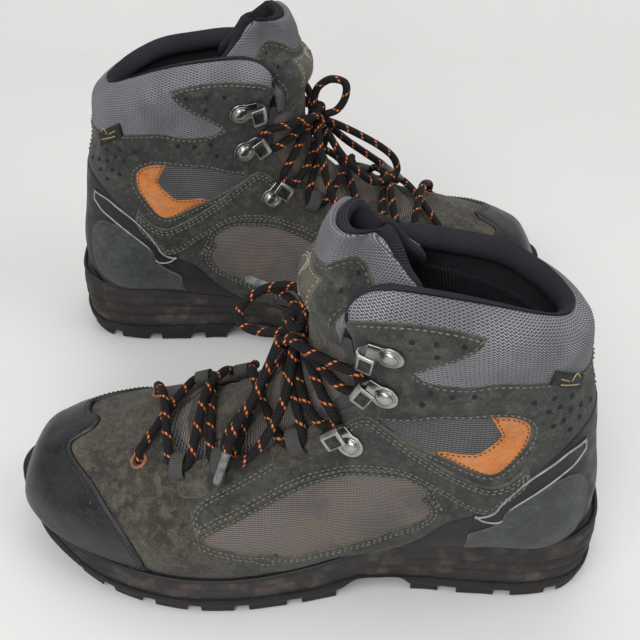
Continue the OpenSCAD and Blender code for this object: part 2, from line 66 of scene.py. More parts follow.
# ---------------------------------------------------------------- the upper's surface
# Sections of the upper from the toe (0) over the instep to the rim (18) and tongue top (21):
# top point X, Z, bottom point X, Z, half widths, height of the widest place, roundness, rise.
SECTIONS = np.array([
    [299, 32, 300, 29, 2, 2, 0.45, 2.0, 2.0, 0],
    [290, 49, 297, 23, 22, 20, 0.35, 2.1, 2.6, 0],
    [279, 56, 289, 21, 33, 28, 0.30, 2.2, 3.2, 0],
    [262, 62, 273, 19, 43, 36, 0.28, 2.2, 3.8, 0],
    [241, 68, 250, 18, 52, 42, 0.26, 2.2, 4.2, 0],
    [217, 76, 222, 18, 59, 45, 0.25, 2.2, 4.5, 0],
    [194, 86, 192, 18, 61, 44, 0.25, 2.2, 4.5, 0],
    [173, 98, 160, 19, 55, 39, 0.28, 2.2, 5.0, 0],
    [158, 112, 125, 24, 46, 36, 0.32, 2.2, 5.5, 0],
    [150, 125, 90, 31, 41, 35, 0.38, 2.3, 6.0, 0],
    [147, 137, 50, 36, 41, 35, 0.42, 2.3, 5.0, 0],
    [146, 147, 14, 38, 41, 35, 0.44, 2.3, 3.4, 0],
    [146, 155, 7, 62, 40, 35, 0.46, 2.3, 2.5, 0],
    [146, 161, 12, 92, 39, 35, 0.48, 2.3, 2.3, 1],
    [146, 166, 17, 120, 38, 35, 0.50, 2.3, 2.2, 3],
    [146, 170, 22, 136, 38, 34, 0.50, 2.3, 2.1, 6],
    [147, 174, 25, 152, 39, 34, 0.50, 2.3, 2.1, 9],
    [147, 179, 28, 164, 38, 33, 0.50, 2.3, 2.1, 13],
    [144, 183, 35, 172, 31, 28, 0.50, 2.3, 2.1, 16],
    [143, 194, 60, 192, 24, 23, 0.50, 2.2, 2.1, 10],
    [139, 206, 62, 204, 24, 23, 0.50, 2.2, 2.1, 6],
    [134, 216, 64, 216, 24, 23, 0.50, 2.2, 2.1, 0]], float)
HEEL = 11.3  # the section that meets the sole at the back of the heel
CREST = 21  # the last section
RIM = 18.3  # the worn leather ends here
MM = 0.001


def table(places, values):
    """A rule that reads between the rows of a table."""
    return lambda x: np.interp(x, places, values)


# By section: thickness of the padding, and half angles of the throat and of the lower tongue.
padding = table([0, 9, 12, 14, 16, 17, 18, 21], [4.4, 4.4, 7, 9, 11, 11, 9, 9])
throat = table([4.8, 5.2, 6.3, 8.4, 10, 13, 17, 18], [4, 20, 29, 38, 45, 49, 47, 50])
tongue = table([4.9, 5.4, 6.3, 8.4, 10, 13, 18], [2, 17, 25, 34, 41, 44, 44])


def blend4(a, b, c, d, t):
    """The smooth curve from b to c that also heeds their neighbours a and d."""
    return 0.5 * (2 * b + (c - a) * t + (2 * a - 5 * b + 4 * c - d) * t**2 + (3 * b - a - 3 * c + d) * t**3)


def section(u):
    """The row of sizes at any place along the boot."""
    u = np.asarray(u, float)
    last = len(SECTIONS) - 1
    i = np.clip(np.floor(u).astype(int), 0, last - 1)
    t = (u - i)[..., None]
    rows = [SECTIONS[np.clip(i + k, 0, last)] for k in (-1, 0, 1, 2)]
    return blend4(*rows, t)


def skin(u, a):
    """Point of the upper's outer face; angle 0 is the throat, 90 the outer side, -90 the inner."""
    u, a = np.broadcast_arrays(np.asarray(u, float), np.asarray(a, float))
    q = section(u)
    c, s = np.cos(np.radians(a)), np.sin(np.radians(a))
    n = np.where(c >= 0, q[..., 7], q[..., 8])
    up = np.sign(c) * np.abs(c) ** (2 / n)
    side = np.sign(s) * np.abs(s) ** (2 / n)
    sw = q[..., 6]
    h = np.where(up >= 0, sw + (1 - sw) * up, sw * (1 + up))
    rise = q[..., 9] * s * s * np.where(side >= 0, 1, 0.4)
    return np.stack([q[..., 2] + (q[..., 0] - q[..., 2]) * h,
                     np.where(side >= 0, q[..., 4], q[..., 5]) * side,
                     q[..., 3] + (q[..., 1] - q[..., 3]) * h + rise], -1)


def skin_at(q):
    """Points of the outer face at rows of [section, angle]."""
    return skin(q[:, 0], q[:, 1])


def normal(u, a):
    """Unit vector out of the upper."""
    u = np.asarray(u, float)
    n = np.cross(skin(u, a + 3) - skin(u, a - 3),
                 skin(np.minimum(u + 0.05, CREST), a) - skin(np.maximum(u - 0.05, 0), a))
    return n / np.maximum(np.linalg.norm(n, axis=-1, keepdims=True), 1e-9)


def foot_angle(u):
    """Angle at which the upper goes under the sole's edge."""
    v = np.clip(u, 1, 11)
    q = section(v)
    hidden = 4  # millimetres of the upper below the sole's edge
    h = hidden / (q[..., 1] - q[..., 3]) / q[..., 6]
    a = np.degrees(np.arccos(-np.power(1 - h, q[..., 8] / 2)))
    return np.where(np.asarray(u) <= 11, a, np.minimum(180, a + (180 - a) * (u - 11) / (HEEL - 11)))


def waves(p, size, seed):
    """Smooth noise about -1 to 1 at points p, in millimetres, with features of that size."""
    rng = np.random.default_rng(seed)
    k = rng.normal(size=(9, 3))
    k *= (2 * math.pi / size * rng.uniform(0.6, 1.5, 9) / np.linalg.norm(k, axis=1))[:, None]
    return np.sin(p @ k.T + rng.uniform(0, 6.28, 9)).mean(-1) * 1.9


# Creases where the forefoot and the ankle bend: place along the boot, depth, half width.
CREASES = [(212, 0.7, 3.0), (196, 1.1, 2.6), (184, 0.8, 2.2), (170, 0.6, 2.4)]


def relief(u, a, p):
    """How far the worn leather stands off the nominal face."""
    r = 0.55 * waves(p, 46, 1) + 0.24 * waves(p, 15, 2)
    high = np.clip((p[..., 2] - 30) / 25, 0, 1)
    for x, depth, width in CREASES:
        line = x + 5 * waves(p * [0.3, 1, 1], 40, int(x))
        fade = np.clip(1.3 - np.abs(a) / 85, 0, 1)
        r = r - depth * high * fade * np.exp(-((p[..., 0] - line) / width) ** 2)
    foot = np.clip((foot_angle(u) - np.abs(a)) / 14, 0, 1)
    swell = 1.9 * np.exp(-((u - 16.6) / 1.0) ** 2) * np.clip((u - 14.3) / 1.2, 0, 1)
    return r * foot * np.clip(u / 1.5, 0, 1) + np.where(u < RIM, swell, 0)


def body(u, a, off):
    """Points that stand off the worn upper."""
    p = skin(u, a)
    return p + normal(u, a) * (off + relief(np.asarray(u, float), a, p))[..., None]


def arc_tables():
    """Lengths round and along the upper on a grid, ten rows to a section and two degrees apart."""
    us, angles = np.linspace(0, CREST, 10 * CREST + 1), np.linspace(-180, 180, 181)
    p = skin(us[:, None], angles[None, :])
    round_it = np.cumsum(np.linalg.norm(np.diff(p, axis=1, prepend=p[:, :1]), axis=-1), 1)
    round_it -= round_it[:, 90:91]
    along = np.cumsum(np.linalg.norm(np.diff(p, axis=0, prepend=p[:1]), axis=-1), 0)
    return round_it, along


ARC_ROUND, ARC_ALONG = arc_tables()


def arc_uv(u, a):
    """Lengths along the surface, in millimetres, so that a weave keeps its size."""
    a = (np.asarray(a, float) + 180) % 360.0001 - 180
    x, y = np.clip((a + 180) / 2, 0, 179.999), np.clip(np.asarray(u, float) * 10, 0, 209.999)
    i, j = y.astype(int), x.astype(int)
    f, g = y - i, x - j
    out = []
    for t in (ARC_ROUND, ARC_ALONG):
        out.append((t[i, j] * (1 - g) + t[i, j + 1] * g) * (1 - f)
                   + (t[i + 1, j] * (1 - g) + t[i + 1, j + 1] * g) * f)
    return np.stack(out, -1)


# ---------------------------------------------------------------- meshes
def place(side, p):
    """Points of a boot's own frame, in millimetres, where that boot stands, in metres."""
    (x, y), turn, flip = HEELS[side]
    t = math.radians(turn)
    p = np.asarray(p, float) * [1, flip, 1]
    return np.stack([x + p[..., 0] * math.cos(t) - p[..., 1] * math.sin(t),
                     y + p[..., 0] * math.sin(t) + p[..., 1] * math.cos(t), p[..., 2]], -1) / 1000


def build(name, side, verts, faces, finish, slot, on="boot", replaces=(), uv=None, values=None,
          smooth=True):
    """Makes a piece of one boot from points in millimetres in the boot's own frame."""
    verts = place(side, verts)
    faces = [list(map(int, f)) for f in faces]
    if HEELS[side][2] < 0:
        faces = [f[::-1] for f in faces]
    mesh = bpy.data.meshes.new(f"{side}_{name}")
    mesh.from_pydata(verts.tolist(), [], faces)
    mesh.update()
    if uv is not None:
        loops = np.zeros(len(mesh.loops), np.int32)
        mesh.loops.foreach_get("vertex_index", loops)
        layer = mesh.uv_layers.new(name="UVMap")
        layer.data.foreach_set("uv", np.asarray(uv, np.float32)[loops].ravel())
    for key, value in (values or {}).items():
        mesh.attributes.new(key, "FLOAT", "POINT").data.foreach_set("value", np.asarray(value, np.float32))
    mesh.polygons.foreach_set("use_smooth", np.full(len(mesh.polygons), smooth))
    obj = bpy.data.objects.new(f"{side}_{name}", mesh)
    bpy.context.scene.collection.objects.link(obj)
    mesh.materials.append(MATERIALS[finish])
    if on:
        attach(obj, f"{side}_{on}")
    if replaces:
        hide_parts(*[f"{side}_{n}" for n in replaces])
    return obj


def loft(rows, close_row=False, close_col=False, caps=False):
    """Points and four-sided faces of a grid of points; rows run along the first axis."""
    n, m = rows.shape[:2]
    faces = [(i * m + j, ((i + 1) % n) * m + j, ((i + 1) % n) * m + (j + 1) % m, i * m + (j + 1) % m)
             for i in range(n if close_row else n - 1) for j in range(m if close_col else m - 1)]
    if caps:
        faces += [tuple(range(m)), tuple(reversed(range((n - 1) * m, n * m)))]
    return rows.reshape(-1, 3), faces


def tuck(u, a):
    """The wings of the tongue's top pass inside the collar."""
    t = np.clip((np.abs(a) - 32) / 18, 0, 1) * np.clip((u - 15.0) / 1.4, 0, 1)
    return -11.5 * t * t * (3 - 2 * t)


def outward(verts, faces):
    """The same faces turned so that the closed shape's volume is positive."""
    v = np.asarray(verts, float)
    total = sum(float(np.dot(v[f[0]], np.cross(v[f[k]], v[f[k + 1]])))
                for f in faces for k in range(1, len(f) - 1))
    return faces if total > 0 else [tuple(reversed(f)) for f in faces]


def joined(parts):
    """One list of points, faces and uv from several (points, faces[, uv])."""
    verts, faces, uvs, base = [], [], [], 0
    for part in parts:
        verts.append(np.asarray(part[0], float))
        faces += [tuple(k + base for k in f) for f in part[1]]
        uvs.append(part[2] if len(part) > 2 else np.zeros((len(part[0]), 2)))
        base += len(part[0])
    return np.vstack(verts), faces, np.vstack(uvs)


def spline(points, per=8, closed=False):
    """A smooth line through the points, with so many steps between two of them."""
    p = np.asarray(points, float)
    n, out = len(p), []
    for i in range(n if closed else n - 1):
        pick = (lambda k: p[k % n]) if closed else (lambda k: p[min(max(k, 0), n - 1)])
        for t in np.arange(per) / per:
            out.append(blend4(pick(i - 1), pick(i), pick(i + 1), pick(i + 2), t))
    if not closed:
        out.append(p[-1])
    return np.array(out)


def lengths(p):
    """Distance along a line at each of its points."""
    return np.concatenate([[0], np.cumsum(np.linalg.norm(np.diff(p, axis=0), axis=1))])


def spaced(p, step, key=None):
    """Points of p at an even step, measured on key."""
    s = lengths(p if key is None else key)
    t = np.linspace(0, s[-1], max(3, int(round(s[-1] / step)) + 1))
    return np.stack([np.interp(t, s, p[:, k]) for k in range(p.shape[1])], 1)


def seam(points, step=1.3, closed=False):
    """An even line over the upper through [section, angle] points; a third value marks a corner."""
    flat = np.array([q[:2] for q in points], float)
    corners = [i for i, q in enumerate(points) if len(q) > 2]
    if closed and corners:
        order = list(range(corners[0], len(points))) + list(range(corners[0] + 1))
        flat, corners = flat[order], [k for k, i in enumerate(order) if i in corners]
    elif closed:
        flat = spline(flat, closed=True)
        flat = looped(flat)
        return spaced(flat, step, skin_at(flat))[:-1]
    cuts = sorted({0, len(flat) - 1, *corners})
    runs = [spline(flat[a:b + 1]) for a, b in zip(cuts, cuts[1:])]
    runs = [spaced(r, step, skin_at(r)) for r in runs]
    line = np.vstack([r[:-1] for r in runs] + [runs[-1][-1:]])
    return line[:-1] if closed else line


def area(ring):
    """Twice the signed area of a closed line."""
    return (ring[:, 0] * np.roll(ring[:, 1], -1) - np.roll(ring[:, 0], -1) * ring[:, 1]).sum()


def looped(ring):
    """The line with its first point again at its end."""
    return np.vstack([ring, ring[:1]])


def rounded(d, reach):
    """A quarter circle that rises from 0 at an edge to 1 at that reach."""
    return np.sqrt(np.clip(1 - (1 - np.clip(d / reach, 0, 1)) ** 2, 0, 1))


def eased(n):
    """Steps from 0 to 1 that lie closer at both ends."""
    return (1 - np.cos(np.linspace(0, math.pi, n))) / 2


def inside(points, ring):
    """Which points lie inside a closed line."""
    x, y = points[:, :1], points[:, 1:]
    a, b = ring, np.roll(ring, -1, 0)
    cross = (a[:, 1] > y) != (b[:, 1] > y)
    with np.errstate(divide="ignore", invalid="ignore"):
        at = (b[:, 0] - a[:, 0]) * (y - a[:, 1]) / (b[:, 1] - a[:, 1]) + a[:, 0]
    return (cross & (x < at)).sum(1) % 2 == 1


def shifted(ring, d, closed=True):
    """The line moved d millimetres to its left over the surface."""
    t = np.roll(ring, -1, 0) - np.roll(ring, 1, 0) if closed else np.gradient(ring, axis=0)
    u, a = ring[:, 0], ring[:, 1]
    pu = (skin(u + 0.02, a) - skin(u - 0.02, a)) / 0.04
    pa = (skin(u, a + 0.5) - skin(u, a - 0.5))
    e, f, g = (pu * pu).sum(1), (pu * pa).sum(1), (pa * pa).sum(1)
    v = np.stack([-(f * t[:, 0] + g * t[:, 1]), e * t[:, 0] + f * t[:, 1]], 1)
    size = np.sqrt(np.maximum(e * v[:, 0]**2 + 2 * f * v[:, 0] * v[:, 1] + g * v[:, 1]**2, 1e-9))
    return ring + v / size[:, None] * d


def tree_of(points):
    tree = kdtree.KDTree(len(points))
    for i, p in enumerate(points):
        tree.insert(p, i)
    tree.balance()
    return tree


def gap(tree, points):
    """Distance from each point to the nearest one in the tree."""
    return np.array([tree.find(p)[2] for p in points])


# A panel's points: rows this far inside its edges, then an even grid that keeps clear of them.
EDGE_ROWS = (0.35, 0.8, 1.5)
GRID_CLEARANCE = 2.1
FLAT_SCALE = np.array([16, 0.8])  # about the millimetres in one section and in one degree


def within(points, rings):
    """Which points lie inside the first closed line and outside the others."""
    keep = inside(points, rings[0])
    for ring in rings[1:]:
        keep &= ~inside(points, ring)
    return keep


def free_points(rings, tree, grid):
    """Points between the edges of a panel."""
    free = []
    for d in EDGE_ROWS:
        for r in rings:
            q = shifted(r, d)
            free.append(q[gap(tree, skin_at(q)) > 0.8 * d])
    lo, hi = rings[0].min(0), rings[0].max(0)
    mid = (lo + hi) / 2
    per_u = np.linalg.norm(skin(mid[0] + 0.5, mid[1]) - skin(mid[0] - 0.5, mid[1]))
    us = np.arange(lo[0], hi[0], grid / max(per_u, 14))
    angles = np.arange(lo[1], hi[1], grid / 0.85)
    g = np.stack(np.meshgrid(us, angles, indexing="ij"), -1)
    g[1::2, :, 1] += grid / 1.7
    g = g.reshape(-1, 2)
    free.append(g[gap(tree, skin_at(g)) > GRID_CLEARANCE])
    free = np.vstack(free)
    return free[within(free, rings)]


def fill(rings, free):
    """Triangles that join the edges of a panel and the points between them."""
    edges, start = [], 0
    for r in rings:
        edges += [(start + i, start + (i + 1) % len(r)) for i in range(len(r))]
        start += len(r)
    points = np.vstack([*rings, free]) * FLAT_SCALE
    out = delaunay_2d_cdt([Vector((p[1], p[0])) for p in points], edges, [], 0, 1e-5)
    q = np.array([(v[1], v[0]) for v in out[0]]) / FLAT_SCALE
    tri = np.array([f for f in out[2] if len(f) == 3])
    tri = tri[within(q[tri].mean(1), rings)]
    used = np.unique(tri)
    remap = np.full(len(q), -1)
    remap[used] = np.arange(len(used))
    return q[used], remap[tri]


def panel(edge, holes=(), thick=1.6, base=-1.3, rim=1.1, grid=1.8, back=0.5, crown=0.0, bend=None):
    """Cut leather over the upper: rounded edges, a closed underside and uv in millimetres."""
    rings = [seam(edge, closed=True)] + [seam(h, closed=True) for h in holes]
    rings = [r if (area(r) > 0) == (k == 0) else r[::-1] for k, r in enumerate(rings)]
    tree = tree_of(np.vstack([skin_at(r) for r in rings]))
    q, tri = fill(rings, free_points(rings, tree, grid))
    d = gap(tree, skin_at(q))
    dip = bend(q[:, 0], q[:, 1]) if bend else 0 * d
    bulge = crown * np.clip(d / 9, 0, 1) ** 0.5
    top = body(q[:, 0], q[:, 1], dip + base + thick * rounded(d, rim) + bulge)
    under = body(q[:, 0], q[:, 1], dip + base - back)
    n = len(q)
    sides = {(f[k], f[(k + 1) % 3]): 1 for f in tri for k in range(3)}
    rimming = [(b, a) for a, b in sides if (b, a) not in sides]
    faces = ([tuple(f) for f in tri] + [(f[0] + n, f[2] + n, f[1] + n) for f in tri]
             + [(a, b, b + n, a + n) for a, b in rimming])
    uv = np.vstack([arc_uv(q[:, 0], q[:, 1])] * 2)
    values = {"along": np.tile(q[:, 0], 2), "edge": np.tile(np.minimum(d, 8), 2)}
    return np.vstack([top, under]), faces, uv, values


def mirrored(points):
    """The same outline on the inner side of the boot."""
    return [(q[0], -q[1], *q[2:]) for q in points]


def both_halves(half, top, bottom):
    """A closed outline from its outer half and the sections where it crosses the middle."""
    return half + [(top, 0)] + mirrored(half)[::-1] + [(bottom, 0)]


def tube(path, radius, sides=12, ends=True):
    """Round cord along a path with uv of turns and length."""
    p = np.asarray(path, float)
    t = np.gradient(p, axis=0)
    t /= np.linalg.norm(t, axis=1, keepdims=True)
    s = np.cross(t[0], [0, 0, 1] if abs(t[0][2]) < 0.8 else [0, 1, 0])
    frames = []
    for d in t:
        s = s - (s @ d) * d
        s /= np.linalg.norm(s)
        frames.append((s, np.cross(d, s)))
    ang = np.arange(sides) * 2 * math.pi / sides
    length = lengths(p)
    r = np.broadcast_to(np.asarray(radius, float), (len(p),))
    rows = np.stack([p[i] + r[i] * (np.cos(ang)[:, None] * f[0] + np.sin(ang)[:, None] * f[1])
                     for i, f in enumerate(frames)])
    verts, faces = loft(rows, close_col=True, caps=ends)
    uv = np.stack([np.tile(ang / (2 * math.pi), len(p)), np.repeat(length, sides)], 1)
    return verts, outward(verts, faces), uv


def on_skin(u, a, off=0.0):
    """(place, axes) on the upper: the third axis points out, the first round towards the throat."""
    z = normal(u, a)
    x = (skin(u, a - 3) - skin(u, a + 3)) * (1 if a >= 0 else -1)
    x = x - (x @ z) * z
    x /= np.linalg.norm(x)
    return skin(u, a) + z * (off + relief(u, a, skin(u, a))), np.stack([x, np.cross(z, x), z])


def raised_lines(lines, off, radius, step):
    """Thin ridges along lines of [section, angle] points."""
    runs = [seam(points, step) for points in lines]
    return joined([tube(body(q[:, 0], q[:, 1], off), radius, 6) for q in runs])


# Across one stitch, from where it goes in to where it comes out: share of its thickness, height.
THREAD = ((0.35, -0.12), (1, 0.16), (1, 0.16), (0.35, -0.12))


def stitches(lines, off, pitch, size, thick, bend=None):
    """Sewn thread along lines of [section, angle] points."""
    around = [(math.cos(g), math.sin(g)) for g in np.arange(5) * 2 * math.pi / 5]
    parts = []
    for line in lines:
        p = body(line[:, 0], line[:, 1], off + (bend(line[:, 0], line[:, 1]) if bend else 0))
        n = normal(line[:, 0], line[:, 1])
        both = spaced(np.hstack([p, n]), pitch / 6, p)
        s = lengths(both[:, :3])
        for at in np.arange(pitch, s[-1] - size, pitch):
            rows = []
            for k, (w, h) in zip(np.linspace(at, at + size, 4), THREAD):
                c = np.array([np.interp(k, s, both[:, j]) for j in range(6)])
                d = np.array([np.interp(k + 0.3, s, both[:, j]) - np.interp(k - 0.3, s, both[:, j])
                              for j in range(3)])
                d /= np.linalg.norm(d) + 1e-9
                side = np.cross(c[3:], d)
                rows.append([c[:3] + c[3:] * (h + thick * w * y) + side * thick * w * 1.1 * x
                             for x, y in around])
            v, f = loft(np.array(rows), close_col=True, caps=True)
            parts.append((v, outward(v, f)))
    return joined(parts)


# ---------------------------------------------------------------- materials
class Shader:
    """Builds a node tree with short calls; a value may be a number, a colour or a socket."""

    def __init__(self, tree):
        self.tree = tree

    def put(self, socket, value):
        if isinstance(value, bpy.types.NodeSocket):
            self.tree.links.new(value, socket)
        elif value is not None:
            if isinstance(value, (tuple, list)) and len(value) == 3 and socket.type == "RGBA":
                value = (*value, 1)
            socket.default_value = value

    def node(self, kind, out=0, inputs=None, **settings):
        n = self.tree.nodes.new("ShaderNode" + kind)
        for key, value in settings.items():
            setattr(n, key, value)
        for key, value in (inputs or {}).items():
            self.put(n.inputs[key], value)
        return n.outputs[out]

    def math(self, op, *values):
        return self.node("Math", inputs=dict(enumerate(values)), operation=op)

    def mix(self, factor, a, b, how="MIX"):
        n = self.tree.nodes.new("ShaderNodeMix")
        n.data_type, n.blend_type, n.clamp_factor = "RGBA", how, True
        self.put(n.inputs[0], factor)
        self.put(n.inputs[6], a)
        self.put(n.inputs[7], b)
        return n.outputs[2]

    def noise(self, at, scale, detail=4.0, rough=0.55):
        return self.node("TexNoise", inputs={"Vector": at, "Scale": scale, "Detail": detail,
                                             "Roughness": rough})

    def range(self, value, a, b, c=0.0, d=1.0):
        return self.node("MapRange", inputs=dict(enumerate((value, a, b, c, d))),
                         interpolation_type="SMOOTHSTEP")

    def split(self, vector):
        """The first two numbers of a vector."""
        n = self.tree.nodes.new("ShaderNodeSeparateXYZ")
        self.put(n.inputs[0], vector)
        return n.outputs[0], n.outputs[1]

    def group(self, name, out, **inputs):
        n = self.tree.nodes.new("ShaderNodeGroup")
        n.node_tree = bpy.data.node_groups[name]
        for key, value in inputs.items():
            self.put(n.inputs[key], value)
        return n.outputs[out] if isinstance(out, str) else [n.outputs[o] for o in out]


def new_group(name, inputs, outputs):
    """A node group with named sockets: its shader, its inputs and its outputs."""
    tree = bpy.data.node_groups.new(name, "ShaderNodeTree")
    for key, kind, value in inputs:
        s = tree.interface.new_socket(name=key, in_out="INPUT", socket_type="NodeSocket" + kind)
        if value is not None:
            s.default_value = value
    for key, kind in outputs:
        tree.interface.new_socket(name=key, in_out="OUTPUT", socket_type="NodeSocket" + kind)
    return Shader(tree), tree.nodes.new("NodeGroupInput").outputs, tree.nodes.new("NodeGroupOutput").inputs


def make_groups():
    """The effects that several materials share."""
    where = ("Position", "Vector", None)
    s, i, o = new_group("Mottle", [where, ("Size", "Float", 60.0), ("Low", "Float", 0.4),
                                   ("High", "Float", 0.62)], [("Mask", "Float")])
    s.put(o["Mask"], s.range(s.noise(i["Position"], i["Size"], 6.0, 0.62), i["Low"], i["High"]))

    s, i, o = new_group("Fibre", [where, ("Size", "Float", 2200.0)], [("Height", "Float")])
    fine = s.noise(i["Position"], i["Size"], 3.0, 0.7)
    broad = s.noise(i["Position"], s.math("MULTIPLY", i["Size"], 0.16), 3.0, 0.6)
    s.put(o["Height"], s.math("ADD", s.math("MULTIPLY", fine, 0.55), s.math("MULTIPLY", broad, 0.6)))

    s, i, o = new_group("EdgeWear", [where, ("Reach", "Float", 1.6)], [("Mask", "Float")])
    edge = s.node("Attribute", "Fac", attribute_name="edge")
    rub = s.noise(i["Position"], 240.0, 3.0)
    rubbed = s.range(rub, 0.3, 0.6, 0.35, 1.0)
    s.put(o["Mask"], s.math("MULTIPLY", s.range(edge, i["Reach"], 0.0), rubbed))

    s, i, o = new_group("Knit", [("UV", "Vector", None), ("Pitch", "Float", 2.0), ("Slant", "Float", 0.5)],
                        [("Thread", "Float"), ("Height", "Float")])
    u, v = s.split(i["UV"])
    across = s.math("DIVIDE", u, i["Pitch"])
    up = s.math("DIVIDE", v, i["Pitch"])
    zig = s.math("MULTIPLY", s.math("PINGPONG", across, 0.5), i["Slant"])
    row = s.math("ADD", s.math("MULTIPLY", up, 1.35), s.math("MULTIPLY", zig, 2.0))
    wave = s.math("PINGPONG", row, 0.5)
    stitch = s.math("PINGPONG", s.math("ADD", across, 0.25), 0.5)
    thread = s.math("MULTIPLY", s.range(wave, 0.1, 0.32), s.range(stitch, 0.0, 0.13, 0.45, 1.0))
    s.put(o["Thread"], thread)
    s.put(o["Height"], thread)

    s, i, o = new_group("Scuff", [where, ("Size", "Float", 90.0)], [("Mask", "Float")])
    stretch = s.node("Mapping", inputs={"Vector": i["Position"], "Scale": (1.0, 1.6, 4.0)})
    lines = s.range(s.noise(stretch, i["Size"], 8.0, 0.7), 0.56, 0.74)
    spots = s.range(s.noise(i["Position"], s.math("MULTIPLY", i["Size"], 9.0), 4.0, 0.7), 0.58, 0.7)
    s.put(o["Mask"], s.math("MAXIMUM", s.math("MULTIPLY", lines, 0.8), s.math("MULTIPLY", spots, 0.6)))


MATERIALS = {}


def material(name, recipe, rough=0.8, metal=0.0, sheen=0.0, specular=0.4, coat=0.0):
    """A Principled material; recipe(shader, position, uv) returns colour, roughness or None, height
    of the bump, and its distance in metres."""
    mat = bpy.data.materials.new(name)
    mat.use_nodes = True
    s = Shader(mat.node_tree)
    bsdf = mat.node_tree.nodes["Principled BSDF"]
    for key, value in (("Roughness", rough), ("Metallic", metal), ("Sheen Weight", sheen),
                       ("Coat Weight", coat), ("Sheen Roughness", 0.5), ("Specular IOR Level", specular)):
        bsdf.inputs[key].default_value = value
    at, uv = s.node("TexCoord", "Object"), s.node("UVMap", uv_map="UVMap")
    colour, roughness, height, distance = recipe(s, at, uv)
    s.put(bsdf.inputs["Base Color"], colour)
    s.put(bsdf.inputs["Roughness"], roughness)
    bump = s.node("Bump", inputs={"Height": height, "Strength": 1.0, "Distance": distance})
    s.put(bsdf.inputs["Normal"], bump)
    MATERIALS[name] = mat


# Stains of the suede from broad to fine: size, low, high, share, and whether they are the worn tone.
STAINS = ((38.0, 0.44, 0.58, 0.8, False), (75.0, 0.5, 0.66, 0.55, True), (260.0, 0.5, 0.62, 0.4, True),
          (340.0, 0.5, 0.62, 0.45, False), (1500.0, 0.46, 0.6, 0.6, False), (1900.0, 0.54, 0.66, 0.5, True))
# Sections between which the suede turns from its front colour to its rear one.
TURN = (6.5, 9.5)


def suede(front, rear, dark, worn, edge_colour=(0.17, 0.15, 0.11)):
    """Mottled nap that turns from the front colour to the rear one along the boot."""
    def recipe(s, at, uv):
        along = s.node("Attribute", "Fac", attribute_name="along")
        drift = s.math("ADD", along, s.math("MULTIPLY", s.math("SUBTRACT", s.noise(at, 28.0), 0.5), 3.0))
        colour = s.mix(s.range(drift, *TURN), front, rear)
        for size, low, high, share, is_worn in STAINS:
            mask = s.group("Mottle", "Mask", Position=at, Size=size, Low=low, High=high)
            colour = s.mix(s.math("MULTIPLY", mask, share), colour, worn if is_worn else dark)
        wear = s.group("EdgeWear", "Mask", Position=at, Reach=1.3)
        colour = s.mix(s.math("MULTIPLY", wear, 0.55), colour, edge_colour)
        nap = s.group("Fibre", "Height", Position=at, Size=1900.0)
        return colour, s.range(s.noise(at, 60.0), 0.3, 0.7, 0.82, 0.98), nap, 0.0007
    return recipe


def knit(light, dark, pitch, slant, depth=0.0006, dust=None):
    """Looped or woven yarn along the piece's uv, its pitch in millimetres."""
    def recipe(s, at, uv):
        thread, height = s.group("Knit", ("Thread", "Height"), UV=uv, Pitch=pitch, Slant=slant)
        tint = s.mix(s.range(s.noise(at, 40.0), 0.35, 0.65, 0.0, 0.35), light, dark)
        if dust:
            dusty = s.group("Mottle", "Mask", Position=at, Size=55.0, Low=0.42, High=0.66)
            tint = s.mix(dusty, tint, dust)
        return s.mix(thread, dark, tint), None, height, depth
    return recipe


def plain(colour, other, size=300.0, depth=0.0003, fine=1500.0, low=0.4, high=0.65, rough=(0.6, 0.8)):
    """Moulded rubber, plastic or film: two close tones, fine texture and uneven gloss."""
    def recipe(s, at, uv):
        tone = s.mix(s.group("Mottle", "Mask", Position=at, Size=size, Low=low, High=high), colour, other)
        return (tone, s.range(s.noise(at, size * 0.6), 0.3, 0.7, *rough),
                s.group("Fibre", "Height", Position=at, Size=fine), depth)
    return recipe


def scuffed(colour, other, scuff, size, depth, rough):
    """Rubber, plastic or smooth leather with paler scratches and chips."""
    def recipe(s, at, uv):
        tone = s.mix(s.group("Mottle", "Mask", Position=at, Size=size), colour, other)
        mask = s.group("Scuff", "Mask", Position=at, Size=size)
        tone = s.mix(s.math("MULTIPLY", mask, 0.6), tone, scuff)
        grain = s.group("Fibre", "Height", Position=at, Size=1300.0)
        height = s.math("ADD", grain, s.math("MULTIPLY", mask, -0.7))
        return tone, s.range(s.noise(at, size), 0.3, 0.7, *rough), height, depth
    return recipe


def braid(s, at, uv):
    """Round braided lace: helical strands, with orange flecks in pairs."""
    turn, along = s.split(uv)
    length = s.math("DIVIDE", along, 1.7)
    a = s.math("PINGPONG", s.math("ADD", s.math("MULTIPLY", turn, 6.0), length), 0.5)
    b = s.math("PINGPONG", s.math("SUBTRACT", s.math("MULTIPLY", turn, 6.0), length), 0.5)
    strand = s.math("MULTIPLY", s.range(a, 0.0, 0.2), s.range(b, 0.0, 0.2))
    row = s.math("FRACT", s.math("ADD", s.math("DIVIDE", along, 11.0), turn))
    streak = s.math("FRACT", s.math("MULTIPLY", turn, 7.0))
    fleck = s.math("MULTIPLY", s.math("LESS_THAN", row, 0.12), s.math("LESS_THAN", streak, 0.6))
    black = s.mix(strand, (0.002, 0.002, 0.0022), (0.011, 0.010, 0.0105))
    colour = s.mix(fleck, black, tuple(bpy.context.scene.boots.fleck_colour))
    fuzz = s.math("MULTIPLY", s.noise(at, 5000.0), 0.3)
    return colour, None, s.math("ADD", strand, fuzz), 0.00035


